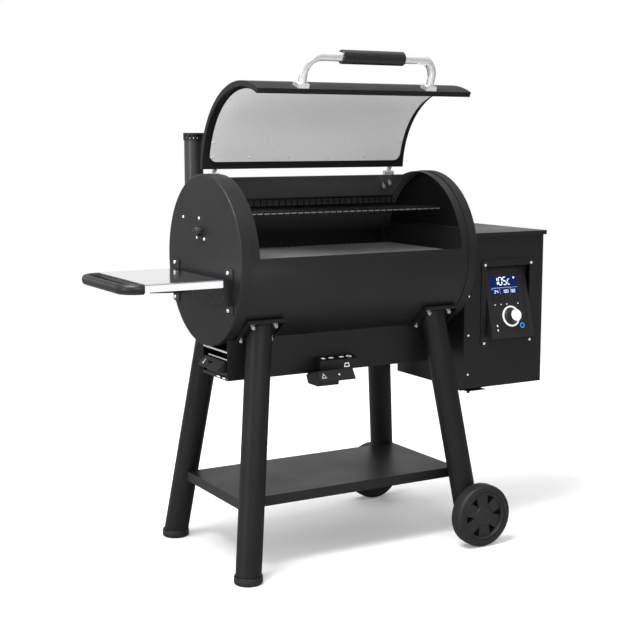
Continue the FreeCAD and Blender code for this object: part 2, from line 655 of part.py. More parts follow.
def lower_shelf():
    plate = box("shelf_block", ("-shelf_half_x", "-shelf_half_y", "shelf_top - shelf_lip"),
                ("shelf_half_x", "shelf_half_y", "shelf_top"))
    under = box("shelf_under", ("shelf_sheet - shelf_half_x", "shelf_sheet - shelf_half_y", "shelf_top - 60"),
                ("shelf_half_x - shelf_sheet", "shelf_half_y - shelf_sheet", "shelf_top - shelf_sheet"))
    return part(cut("lower_shelf", plate, under))


# ---------------------------------------------------------------- burner

def trough():
    """An open-ended trough under the barrel; its floor is raised so an ash slide can run beneath it."""
    deck = "trough_floor + trough_raise"
    outer = box("trough_block", ("trough_left", "-trough_half", "trough_floor"),
                ("trough_right", "trough_back", 720))
    inner = box("trough_room", ("trough_left - 1", "trough_sheet - trough_half", "%s + trough_sheet" % deck),
                ("trough_right - trough_sheet", "trough_back - trough_sheet", 721))
    under = box("trough_under",
                ("trough_left + trough_sheet", "trough_sheet - trough_half", "trough_floor - 1"),
                ("trough_right - trough_sheet", "trough_back - trough_sheet", deck))
    barrel = drum("trough_barrel", "barrel_radius + 0.05", "trough_left - 5", "trough_right + 5")
    cap = drum("trough_cap", "cap_radius + 0.2", "trough_left - 5", "cap_skirt - cap_face + 0.3")
    tools = [box("ash_hole", ("pot_x - 30", -30, deck), ("pot_x + 30", 30, "%s + 5" % deck)),
             box("cup_slot", ("cup_left + 2", -130, "trough_floor + 2.2"), ("cup_right - 2", -100, deck)),
             rod("auger_hole", "x", "auger_tube + 0.1", "trough_right - 10", "trough_right + 10",
                 (0, "auger_height")), cap]
    for index, (front, back) in enumerate(((-106, -101), (-94, -72), (-60, -34))):
        tools.append(box("lip_slot_%d" % index, ("trough_left - 1", front, "trough_floor + 2"),
                         ("trough_left + trough_sheet + 1", back, "trough_floor + 6.5")))
    guides = []
    sides = (("cup_left + 1", "cup_left + 1"), ("cup_right - 3.4", "cup_right - 8"))
    for index, (left, foot) in enumerate(sides):
        guides.append(box("ash_guide_%d" % index, (left, "1 - trough_half", "trough_floor + 0.8"),
                          ("%s + 2.4" % left, 50, "%s + 1" % deck)))
        guides.append(box("ash_foot_%d" % index, (foot, "1 - trough_half", "trough_floor + 0.8"),
                          ("%s + 7" % foot, 50, "trough_floor + 2.3")))
    left, right, edge = size("hood_left"), size("hood_right"), -size("trough_half")
    hood = prism(((edge + 1, 594), (-149, 587), (-149, 557), (edge + 1, 557)), left, right)
    hollow = prism(((edge, 591.6), (-146.5, 585.2), (-146.5, 556), (edge, 556)), left + 2, right - 2)
    shell = cut("trough_shell", outer, inner, under, barrel)
    body = fuse("trough_body", shell, fixed_shape("trough_hood", hood.cut(hollow)), *guides)
    return part(cut("trough_housing", body, *tools))


def fire_pot():
    pot = box("pot_block", ("pot_x - pot_half", "-pot_half", "pot_floor"),
              ("pot_x + pot_half", "pot_half", "pot_top"))
    room = box("pot_room", ("pot_x - pot_half + pot_sheet", "pot_sheet - pot_half", "pot_floor - 1"),
               ("pot_x + pot_half - pot_sheet", "pot_half - pot_sheet", "pot_top + 1"))
    feed = rod("pot_feed", "x", "auger_tube + 0.1", "pot_x", "pot_x + pot_half + 1", (0, "auger_height"))
    spark = rod("pot_spark", "x", 5.1, "pot_x", "pot_x + pot_half + 1", (0, "pot_floor + 14"))
    vents = [rod("pot_vent_%d" % i, "y", 3, -60, 60, ("pot_x + %d" % x, "pot_floor + %d" % z))
             for i, (x, z) in enumerate([(x, z) for x in (-28, -14, 0, 14, 28) for z in (20, 40)])]
    part(cut("fire_pot", pot, room, feed, spark, *vents))
    part(rod("igniter_rod", "x", 5, "pot_x + 25", "pot_x + 170", (0, "pot_floor + 14")))
    deck = box("diffuser_deck", ("pot_x - 110", -105, 700), ("pot_x + 110", 105, 703))
    legs = [box("diffuser_leg_%d" % i, (x, -70, 652.5), ("%s + 3" % x, 70, 700))
            for i, x in enumerate(("pot_x - 100", "pot_x + 97"))]
    barrel = drum("diffuser_barrel", "barrel_radius - barrel_skin", "pot_x - 120", "pot_x + 120")
    inside = DOC.addObject("Part::Common", "heat_diffuser")
    inside.Base, inside.Tool = fuse("diffuser_body", deck, *legs), barrel
    part(inside)


def auger():
    start = "pot_x + pot_half - pot_sheet"
    tube = rod("auger_pipe", "x", "auger_tube", start, "auger_end", (0, "auger_height"))
    bore = rod("auger_pipe_bore", "x", "auger_bore", "%s - 1" % start, "auger_end - 2", (0, "auger_height"))
    inlet = box("auger_inlet", ("throat_x - throat_half + 2", "2 - throat_half", "auger_height"),
                ("throat_x + throat_half - 2", "throat_half - 2", "auger_height + 40"))
    shaft_hole = rod("auger_shaft_hole", "x", "auger_shaft + 0.5", "auger_end - 5", "auger_end + 1",
                     (0, "auger_height"))
    part(cut("auger_tube", tube, bore, inlet, shaft_hole))
    first, last = size("pot_x") + size("pot_half") + 2, size("auger_end") - 6
    shaft = Part.makeCylinder(size("auger_shaft"), size("auger_end") + 40 - first,
                              Vector(first, 0, size("auger_height")), Vector(1, 0, 0))
    blade = flight(last - first)
    blade.Placement = Placement(Vector(first, 0, size("auger_height")), Rotation(Vector(0, 1, 0), 90))
    part(fixed_shape("auger_screw", shaft.fuse(blade)))
    high = "auger_height"
    body = box("motor_box", ("auger_end + 16", -34, "%s - 34" % high),
               ("auger_end + 84", 34, "%s + 34" % high))
    hole = rod("motor_bore", "x", "auger_shaft + pin_play", "auger_end + 10", "auger_end + 44", (0, high))
    part(cut("auger_motor", body, hole))


def flight(length):
    """A helical blade about Z, from the shaft out to the flight's radius."""
    inner, outer, thick = size("auger_shaft") - 1, size("auger_flight"), 3.0
    spine = Part.makeHelix(size("auger_pitch"), length - 4, outer)
    corners = [Vector(inner, 0, 0), Vector(outer, 0, 0), Vector(outer, 0, thick), Vector(inner, 0, thick)]
    outline = Part.makePolygon(corners + corners[:1])
    return Part.Wire(spine.Edges).makePipeShell([outline], True, True)


def blower():
    low, high = (420, -52, 468), (500, 52, 574)
    case = box("blower_block", low, high)
    room = rod("blower_room", "x", 46, 424, 496, (0, 521))
    mouth = rod("blower_mouth", "x", 26, 490, 510, (0, 521))
    outlet = box("blower_outlet", (430, -20, 521), (490, 20, 580))
    shaft = rod("blower_shaft", "x", 3, 423, 480, (0, 521))
    part(fuse("blower_housing", cut("blower_case", case, room, mouth, outlet), shaft))
    hub = rod("fan_hub", "x", 10, 428, 470, (0, 521))
    disc = rod("fan_disc", "x", 38, 428, 431, (0, 521))
    blades = []
    for index in range(10):
        blade = DOC.addObject("Part::Box", "fan_blade_%d" % index)
        bind(blade, Length=36, Width=2, Height=14)
        turn = Rotation(Vector(1, 0, 0), index * 36.0)
        blade.Placement = Placement(Vector(431, 0, 521) + turn.multVec(Vector(0, -1, 24)), turn)
        blades.append(blade)
    bore = rod("fan_bore", "x", "3 + pin_play", 420, 490, (0, 521))
    part(cut("fan_impeller", fuse("fan_body", hub, disc, *blades), bore))


def ash_cup():
    """A cup with a sloping front and a wide pull; its flat slide closes the hole under the fire pot."""
    left, right, low = size("cup_left"), size("cup_right"), size("trough_floor")
    shell = prism(((-190, 522), (-191, 536), (-173, 562), (-120, 546), (-133, 522)), left, right)
    room = prism(((-188, 524), (-189, 536), (-171, 570), (-122, 570), (-122, 546), (-134, 524)),
                 left + 2, right - 2)
    outline = ((-191, 536), (-173, 562), (-175, 563), (-193.2, 536.6), (-193, 534), (-191, 533))
    pull = prism(outline, left + 4, 0)
    upstand = Part.makeBox(right - left - 10, 3.5, 16, Vector(left + 5, -123, 540))
    slide = Part.makeBox(right - left - 8, 168, 2.8, Vector(left + 4, -123, low + 2.9))
    above = prism(((-200, low + 5.7), (0, low + 5.7), (0, 700), (-200, 700)), left, right)
    cup = shell.cut(room).fuse([pull, upstand.cut(above), slide])
    return part(fixed_shape("ash_cup", cup.removeSplitter()))


def grease_drawer():
    low, high = "trough_floor + trough_raise + trough_sheet + 0.4", 600
    left, right = "trough_left + 3", "trough_left + drawer_length"
    block = box("drawer_block", (left, "drawer_front", low), (right, "drawer_back", high))
    room = box("drawer_room", ("%s + 2" % left, "drawer_front + 2", "%s + 2" % low),
               ("%s - 2" % right, "drawer_back - 2", 601))
    lip = prism(((-378, 603), (-402, 577.5), (-399.5, 575.5), (-378, 598.5), (-371.5, 598.5), (-371.5, 603)),
                size("drawer_front"), size("drawer_back"), "y")
    cheek = prism(((-378, 602), (-401, 577.5), (-378, 570), (-371.5, 570), (-371.5, 602)),
                  size("drawer_front"), size("drawer_front") + 1.5, "y")
    far = cheek.translated(Vector(0, size("drawer_back") - size("drawer_front") - 1.5, 0))
    grip = [Part.makeBox(60, 5, 9, Vector(-420, -26.5, 583)),
            Part.makeBox(60, 26, 4.5, Vector(-420, -37, 590))]
    front = fixed_shape("drawer_lip", lip.cut(grip).fuse([cheek, far]).removeSplitter())
    return part(fuse("grease_drawer", cut("drawer_shell", block, room), front))


# ---------------------------------------------------------------- hopper

def hopper_shell():
    sheet = "hopper_sheet"
    outer = box("hopper_block", ("hopper_left", "hopper_front", "hopper_floor"),
                ("hopper_right", "hopper_back", "hopper_top"))
    inner = box("hopper_room",
                ("hopper_left + " + sheet, "hopper_front + " + sheet, "hopper_floor + " + sheet),
                ("hopper_right - " + sheet, "hopper_back - " + sheet, "hopper_top + 1"))
    half_x, half_z = "window_width / 2", "window_height / 2"
    window = box("hopper_window", ("window_x - " + half_x, "hopper_front - 5", "window_z - " + half_z),
                 ("window_x + " + half_x, "hopper_front + 20", "window_z + " + half_z))
    hole = rod("hopper_auger_hole", "x", "auger_tube + 0.1", "hopper_left - 10", "hopper_left + 10",
               (0, "auger_height"))
    plug = box("inlet_hole", (600, "hopper_back - 10", 505), (650, "hopper_back + 10", 535))
    chute = box("chute_hole", (426, -150, "hopper_floor - 5"), (472, -100, "hopper_floor + 5"))
    extras = [box("hopper_pad", ("cap_face", -90, 730), ("hopper_left", 90, 880))]
    runners = (("slide_left - 4.5", "slide_left - 4.5"), ("slide_right + 0.5", "slide_right - 5"))
    for index, (left, foot) in enumerate(runners):
        extras.append(box("slide_rail_%d" % index, (left, -150, "slide_floor - 2"),
                          ("%s + 4" % left, 0, "hopper_floor")))
        extras.append(box("slide_foot_%d" % index, (foot, -150, "slide_floor - 2"),
                          ("%s + 9.5" % foot, 0, "slide_floor - 0.4")))
    for index, x in enumerate((462, 636)):
        extras.append(box("hatch_ear_%d" % index, (x, "hopper_back - 1", "hatch_pin_z - 12"),
                          (x + 14, "hatch_pin_y + 6", "hatch_pin_z + 5")))
    bore = rod("hatch_bore", "x", "hatch_pin + pin_play", 400, 700, ("hatch_pin_y", "hatch_pin_z"))
    body = fuse("hopper_body", cut("hopper_shell_box", outer, inner, window, hole, plug, chute), *extras)
    return part(cut("hopper_shell", body, bore))


def wedge(name, top, bottom, low, high):
    """A funnel block: top and bottom give x and y limits, low and high its height."""
    block = DOC.addObject("Part::Wedge", name)
    bind(block, Xmin=bottom[0], Xmax=bottom[1], Zmin="-(%s)" % bottom[3], Zmax="-(%s)" % bottom[2],
         X2min=top[0], X2max=top[1], Z2min="-(%s)" % top[3], Z2max="-(%s)" % top[2], Ymin=low, Ymax=high)
    block.Placement = Placement(Vector(), Rotation(Vector(1, 0, 0), 90))
    return block


def hopper_bin():
    top = ("hopper_left + 5", "hopper_right - 5", "bin_front", "bin_back")
    throat = ("throat_x - throat_half", "throat_x + throat_half", "-throat_half", "throat_half")
    shrink = ("(%s) + 2", "(%s) - 2", "(%s) + 2", "(%s) - 2")
    top_in = [form % text for form, text in zip(shrink, top)]
    throat_in = [form % text for form, text in zip(shrink, throat)]
    neck_floor = "auger_height + 16"
    pieces, rooms = [], []
    pieces.append(wedge("bin_funnel", top, throat, 650, 800))
    rooms.append(wedge("bin_funnel_room", top_in, throat_in, 650, 800))
    blocks = (("box", top, 800, "bin_top", pieces), ("neck", throat, neck_floor, 650, pieces),
              ("box_room", top_in, 800, "bin_top + 1", rooms),
              ("neck_room", throat_in, "auger_height", 650, rooms))
    for name, limits, low, high, store in blocks:
        store.append(box("bin_" + name, (limits[0], limits[2], low), (limits[1], limits[3], high)))
    tube = rod("bin_tube", "x", "auger_tube + 0.05", 400, 500, (0, "auger_height"))
    part(cut("hopper_bin", fuse("bin_body", *pieces), fuse("bin_rooms", *rooms), tube))
    left, right = "(%s) + 0.5" % top_in[0], "(%s) - 0.5" % top_in[1]
    bars = [box("guard_bar_%d" % i, ("%s + %d" % (left, 8 + 23 * i), "bin_front + 3", 862),
                ("%s + %d" % (left, 12 + 23 * i), "bin_back - 3", 866)) for i in range(13)]
    rails = [box("guard_rail_%d" % i, (left, y, 858), (right, "%s + 6" % y, 864))
             for i, y in enumerate(("bin_front + 2.5", 40, "bin_back - 8.5"))]
    part(fuse("pellet_guard", *bars, *rails))


def hopper_lid():
    outer = box("hatch_block", ("lid_left", "hatch_front", "lid_edge"),
                ("lid_right", "hopper_back + 1", "lid_plate"))
    inner = box("hatch_room", ("lid_left + 2", "hatch_front + 2", "lid_edge - 1"),
                ("lid_right - 2", "hopper_back + 10", "lid_plate - 2"))
    outer = round_edges("hatch_round", outer, 6, lambda edge: (
        isinstance(edge.Curve, Part.Line) and abs(edge.tangentAt(0).z) > 0.9 and edge.CenterOfMass.y < 0))
    pin = rod("hatch_rod", "x", "hatch_pin", 452, 660, ("hatch_pin_y", "hatch_pin_z"))
    tabs = [box("hatch_tab_%d" % i, (x, "hopper_back + 0.6", "hatch_pin_z - 2"),
                (x + 16, "hatch_pin_y + 1", "lid_plate - 1")) for i, x in enumerate((480, 614))]
    return part(fuse("hopper_lid", cut("hatch_shell", outer, inner), pin, *tabs))


def dump_slide():
    """A gate under the hopper: pulled forwards, its window comes under the hole in the hopper's floor."""
    low, high = "slide_floor", "slide_floor + slide_sheet"
    plate = box("slide_plate", ("slide_left", -180, low), ("slide_right", -28, high))
    window = box("slide_window", ("slide_left + 11", -92, "slide_floor - 1"),
                 ("slide_right - 11", -38, "slide_floor + 5"))
    tab = box("slide_tab", ("slide_left", -180, "slide_floor - 5"), ("slide_left + 10", -177.6, high))
    return part(fuse("dump_slide", cut("slide_gate", plate, window), tab))


def facing(x, height, tilt=0, y=None):
    """A frame on the hopper's front: Z points out of the front, Y up the (tilted) face."""
    back = size("hopper_front") if y is None else y
    return Placement(Vector(x, back, height), Rotation(Vector(1, 0, 0), 90 - tilt))


def on_panel(x, along, out=0.0):
    """The frame at a point of the tilted face: x, distance up the face from its centre, height above it."""
    tilt = math.radians(size("panel_tilt"))
    y = size("panel_y") + along * math.sin(tilt) - out * math.cos(tilt)
    z = size("panel_z") + along * math.cos(tilt) + out * math.sin(tilt)
    return facing(x, z, size("panel_tilt"), y)


def control_bezel():
    bezel = DOC.addObject("PartDesign::Body", "control_bezel")
    plate = sketch(bezel, "bezel_plate")
    rectangle(plate, "bezel_width", "bezel_height")
    pad(bezel, plate, "bezel_sheet")
    hole = sketch(bezel, "bezel_hole", 0, ("window_x - bezel_x", "window_z - bezel_z"))
    rectangle(hole, "window_width", "window_height")
    pocket(bezel, hole, "bezel_sheet + 1")
    soften(bezel, 12, lambda edge: isinstance(edge.Curve, Part.Line) and abs(edge.tangentAt(0).z) > 0.9
           and abs(edge.CenterOfMass.x) > size("bezel_width") / 2 - 1)
    bezel.Placement = facing(size("bezel_x"), size("bezel_z"))
    return part(bezel)


def control_panel():
    half = size("panel_width") / 2
    low, high = on_panel(0, -size("panel_height") / 2).Base, on_panel(0, size("panel_height") / 2).Base
    front, back = size("hopper_front") - size("bezel_sheet") - 0.1, size("hopper_front") + 48
    sill = size("window_z") - size("window_height") / 2 + 0.4
    outline = [Vector(size("panel_x") - half, y, z) for y, z in
               ((high.y, high.z), (low.y, low.z), (front, low.z + 3), (front, sill), (back, sill + 8),
                (back, high.z))]
    body = Part.Face(Part.makePolygon(outline + outline[:1])).extrude(Vector(2 * half, 0, 0))
    depth, middle = size("panel_recess"), size("face_low") + size("face_height") / 2
    recess = Part.makeBox(size("face_width"), size("face_height"), 30,
                          Vector(-size("face_width") / 2, -size("face_height") / 2, -depth))
    upright = [edge for edge in recess.Edges if abs(edge.tangentAt(0).z) > 0.9]
    recess = recess.makeFillet(7, upright)
    recess.Placement = on_panel(size("panel_x"), middle)
    body = body.cut(recess)
    stem = (size("dial_x"), size("dial_t"), 6 + size("pin_play") - 0.3)
    for x, along, radius in button_places() + [stem]:
        hole = Part.makeCylinder(radius + 0.3, 12, Vector(0, 0, -depth - 6))
        hole.Placement = on_panel(x, along)
        body = body.cut(hole)
    part(fixed_shape("control_panel", body))
    glass = Part.makeBox(size("display_width"), size("display_height"), 1.5,
                         Vector(-size("display_width") / 2, -size("display_height") / 2, -depth))
    part(fixed_shape("display_window", glass, on_panel(size("display_x"), size("display_t"))))


def button_places():
    along, radius = size("button_t"), size("button_radius")
    return [(520, along, radius), (543, along, radius), (566, along, radius), (609.5, along, radius),
            (size("power_x"), size("power_t"), size("power_radius"))]


def panel_buttons():
    names = ("left_button", "middle_button", "right_button", "set_button", "power_button")
    for name, (x, along, radius) in zip(names, button_places()):
        button = DOC.addObject("PartDesign::Body", name)
        outline = sketch(button, name + "_disc")
        circle(outline, radius)
        pad(button, outline, 5)
        soften(button, 0.6, lambda edge: is_outer_circle(edge, radius) and edge.CenterOfMass.z > 4)
        button.Placement = on_panel(x, along, -size("panel_recess") - 3)
        part(button)
    dial = DOC.addObject("PartDesign::Body", "control_dial")
    for name, height, radius, length in (("stem", -4, 6, 5), ("skirt", 0.5, "dial_radius", 12),
                                         ("grip", 12, 20, "dial_height - 12")):
        drawing = sketch(dial, "dial_" + name, height)
        circle(drawing, radius)
        pad(dial, drawing, length)
    soften(dial, 1.2, lambda edge: is_outer_circle(edge, 20) and edge.CenterOfMass.z > 15)
    dial.Placement = on_panel(size("dial_x"), size("dial_t"), -size("panel_recess"))
    part(dial)


def power_inlet():
    block = box("inlet_block", (600.5, "hopper_back - 30", 505.5), (649.5, "hopper_back + 2", 534.5))
    socket = box("inlet_socket", (608, "hopper_back - 20", 510), (642, "hopper_back + 5", 530))
    pins = [box("inlet_pin_%d" % i, (x, "hopper_back - 21", 518), (x + 2, "hopper_back - 6", 522))
            for i, x in enumerate((614, 624, 634))]
    return part(fuse("power_inlet", cut("inlet_shell", block, socket), *pins))


# ---------------------------------------------------------------- side shelf

def side_shelf():
    outer = box("table_block", ("table_left", "table_front", "table_top - table_lip"),
                ("table_right", "table_back", "table_top"))
    under = box("table_under", ("table_left + table_sheet", "table_front + table_sheet", "table_top - 60"),
                ("table_right - table_sheet", "table_back - table_sheet", "table_top - table_sheet"))
    slab = round_edges("table_round", outer, 4, lambda edge: (
        abs(edge.tangentAt(0).x) > 0.9 and edge.CenterOfMass.z > size("table_top") - 1))
    arms = ("table_front + arm_inset - 0.5", "table_back - arm_inset - flange_sheet - 0.5")
    notches = [box("table_notch_%d" % i, ("table_right - 10", y, "table_top - 40"),
                   ("table_right + 10", "%s + flange_sheet + 1" % y, "table_top - table_sheet"))
               for i, y in enumerate(arms)]
    part(cut("side_shelf_plate", slab, under, *notches))
    rail = DOC.addObject("PartDesign::Body", "shelf_rail")
    outline = sketch(rail, "rail_outline")
    rectangle(outline, "table_left - rail_left", "table_back - table_front")
    pad(rail, outline, "rail_height")
    slot = sketch(rail, "rail_slot", 0, (6, 0))
    rectangle(slot, "table_left - rail_left - rail_bar - 10", "table_back - table_front - 64")
    pocket(rail, slot, "rail_height + 1")
    for corner, low, high in (("slot_corner", 140, 160), ("rail_corner", 170, 190)):
        soften(rail, size(corner), lambda edge: (
            abs(edge.tangentAt(0).z) > 0.9 and edge.CenterOfMass.x < -8
            and low < abs(edge.CenterOfMass.y) < high))
    middle_x = (size("rail_left") + size("table_left")) / 2
    middle_y = (size("table_front") + size("table_back")) / 2
    low = size("table_top") - size("rail_height")
    rail.Placement = Placement(Vector(middle_x, middle_y, low), Rotation())
    part(rail)


def shelf_brackets():
    face, sheet, under = size("cap_face"), size("flange_sheet"), size("table_top") - size("table_sheet")
    places = (("front", -197, size("table_front") + size("arm_inset")),
              ("rear", 165, size("table_back") - size("arm_inset") - sheet))
    made = []
    for name, low_y, inner_y in places:
        flange = Part.makeBox(sheet, size("flange_width"), size("flange_high") - size("flange_low"),
                              Vector(-face - sheet, low_y, size("flange_low")))
        flange = flange.makeFillet(8, [edge for edge in flange.Edges if abs(edge.tangentAt(0).x) > 0.9])
        arm = Part.makeBox(240, sheet, 20, Vector(-face - 243, inner_y, under - 20.2))
        web = Part.makeBox(26, sheet, 72, Vector(-face - 26, inner_y, under - 72.2))
        gusset = prism(((-515, 829), (-515, 817), (-492, 777), (-face, 773), (-face, 829)),
                       inner_y, inner_y + sheet, "y")
        bracket = flange.fuse([arm, web, gusset]).removeSplitter()
        if name == "front":
            outline = ((-14, 13), (0, 10), (14, 13), (11, 0), (14, -13), (7, -13), (0, -6), (-7, -13),
                       (-14, -13), (-11, 0))
            opener = prism([(x - 467, z + 795) for x, z in outline], inner_y - 8, inner_y + 12, "y")
            holes = [Part.makeCylinder(radius, 20, Vector(x, inner_y - 8, z), Vector(0, 1, 0))
                     for radius, x, z in ((10.5, -430, 794), (1.6, -417, 809))]
            bracket = bracket.cut([opener] + holes)
        made.append(bracket)
    return part(fixed_shape("shelf_brackets", Part.makeCompound(made)))


# ---------------------------------------------------------------- fasteners

def screw_head(at, direction, radius=4.2, height=2.6):
    """A dome-topped head that sits on the surface at a point and looks along direction."""
    head = Part.makeCylinder(radius, height, at, direction)
    top = at + direction * height
    rim = [edge for edge in head.Edges
           if isinstance(edge.Curve, Part.Circle) and (edge.Curve.Center - top).Length < 0.01]
    return head.makeFillet(height * 0.6, rim)


def saddle_bolts(frame):
    """The four bolt ends of a leg's saddle plate, each with its washer and nut."""
    out, bolts = frame.Rotation.multVec(Vector(0, 0, 1)), []
    for x, y in ((-36, 34), (36, 34), (-48.5, -34), (48.5, -34)):
        seat = frame.multVec(Vector(x, y, size("saddle_sheet")))
        washer, nut = Part.makeCylinder(6.2, 1.5, seat, out), Part.makeCylinder(5.4, 10, seat, out)
        bolts.append(washer.fuse([nut, Part.makeCylinder(3.5, 14, seat, out)]).removeSplitter())
    return bolts


def cabinet_screws():
    heads, left, front = [], Vector(-1, 0, 0), Vector(0, -1, 0)
    cap, flange = -size("cap_face"), -size("cap_face") - size("flange_sheet")
    for y, z in ((132.9, 1002), (21.9, 1003.6), (38.2, 947), (-11, 945.4)):
        heads.append(screw_head(Vector(cap, y, z), left))
    for y in (-168, 194):
        heads += [screw_head(Vector(flange, y, z), left, 5.5, 3.2) for z in (759, 863)]
    half_x, half_z = 90, 122.5
    bezel_y = size("hopper_front") - size("bezel_sheet")
    heads += [screw_head(Vector(size("bezel_x") + x, bezel_y, size("bezel_z") - 3 + z), front)
              for x in (-half_x, half_x) for z in (-half_z, half_z)]
    heads += [screw_head(Vector(419, size("hopper_front"), z), front, 3.4, 2) for z in (503, 626, 748)]
    for sign_x in (-1, 1):
        for sign_y in (-1, 1):
            heads += saddle_bolts(saddle_frame(sign_x, sign_y))
    return part(fixed_shape("cabinet_screws", Part.makeCompound(heads)))


def export():
    DOC.recompute()
    faults = [thing.Name for thing in DOC.Objects if {"Invalid", "Error"} & set(thing.State)]
    for thing in PARTS:
        if thing.Shape.isNull() or not thing.Shape.isValid() or not thing.Shape.Solids:
            faults.append(thing.Label)
    if faults:
        raise SystemExit("failed objects: " + ", ".join(faults))
    os.makedirs("parts", exist_ok=True)
    for thing in PARTS:
        thing.Shape.exportStep("parts/%s.step" % thing.Label)
    print(len(PARTS), "parts")


def main():
    fill_sheet()
    for build in (barrel_shell, end_caps, grate_supports, cooking_grates, warming_rack, grease_tray,
                  temperature_probe, chimney, lid, handle, hinges, legs, leg_brackets, leg_feet, wheels,
                  lower_shelf, trough, fire_pot, auger, blower, ash_cup, grease_drawer, hopper_shell,
                  hopper_bin, hopper_lid, dump_slide, control_bezel, control_panel, panel_buttons,
                  power_inlet, side_shelf, shelf_brackets, cabinet_screws):
        build()
    export()


main()
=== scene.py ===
import json
import math

import bmesh
import bpy
from mathutils import Matrix, Vector


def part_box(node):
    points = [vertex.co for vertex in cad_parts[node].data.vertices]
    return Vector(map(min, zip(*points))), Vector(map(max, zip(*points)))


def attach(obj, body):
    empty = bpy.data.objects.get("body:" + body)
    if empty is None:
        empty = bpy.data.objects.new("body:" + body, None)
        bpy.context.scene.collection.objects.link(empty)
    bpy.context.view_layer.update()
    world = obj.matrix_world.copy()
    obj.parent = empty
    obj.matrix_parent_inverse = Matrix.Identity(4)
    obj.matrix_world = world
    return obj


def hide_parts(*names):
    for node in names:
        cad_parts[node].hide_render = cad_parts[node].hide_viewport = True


# Wood-pellet barrel grill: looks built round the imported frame. Metres; X along the barrel, Y back, Z up.
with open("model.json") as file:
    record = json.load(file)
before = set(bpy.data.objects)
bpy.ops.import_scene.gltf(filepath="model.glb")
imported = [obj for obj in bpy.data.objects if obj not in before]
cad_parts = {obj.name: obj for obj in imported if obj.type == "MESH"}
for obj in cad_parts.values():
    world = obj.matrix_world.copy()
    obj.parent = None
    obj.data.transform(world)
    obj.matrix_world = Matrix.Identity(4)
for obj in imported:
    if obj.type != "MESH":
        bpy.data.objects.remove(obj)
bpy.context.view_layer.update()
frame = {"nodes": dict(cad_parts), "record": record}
NODES = frame["nodes"]

AXIS_Z = 0.884
SHELL_INNER = 0.2438
LINER_FACE = 0.2410
PIVOT = Vector((0, 0.112, 1.1215))
LID_OPEN = math.radians(65.4)
OPENED = Matrix.Translation(PIVOT) @ Matrix.Rotation(-LID_OPEN, 4, "X") @ Matrix.Translation(-PIVOT)
PANEL_TILT = math.radians(15.5)
PANEL_AT = Vector((0.572, -0.177, 0.724))
PANEL_FACE = -0.004
DISPLAY_FACE = -0.0024
DISPLAY_X = 0.5635
BUTTON_X = (0.520, 0.543, 0.566, 0.6095)
BUTTON_ALONG = 0.0085
LAMP_ALONG = (-0.0745, -0.0885)
WHEEL_X, WHEEL_RADIUS, TYRE_WIDTH = 0.378, 0.0956, 0.048
MARK_DEPTH = 0.0003
ENAMEL = (0.0075, 0.0075, 0.0077)
WHITE = (1.0, 1.0, 1.0)


# ---------------------------------------------------------------- materials

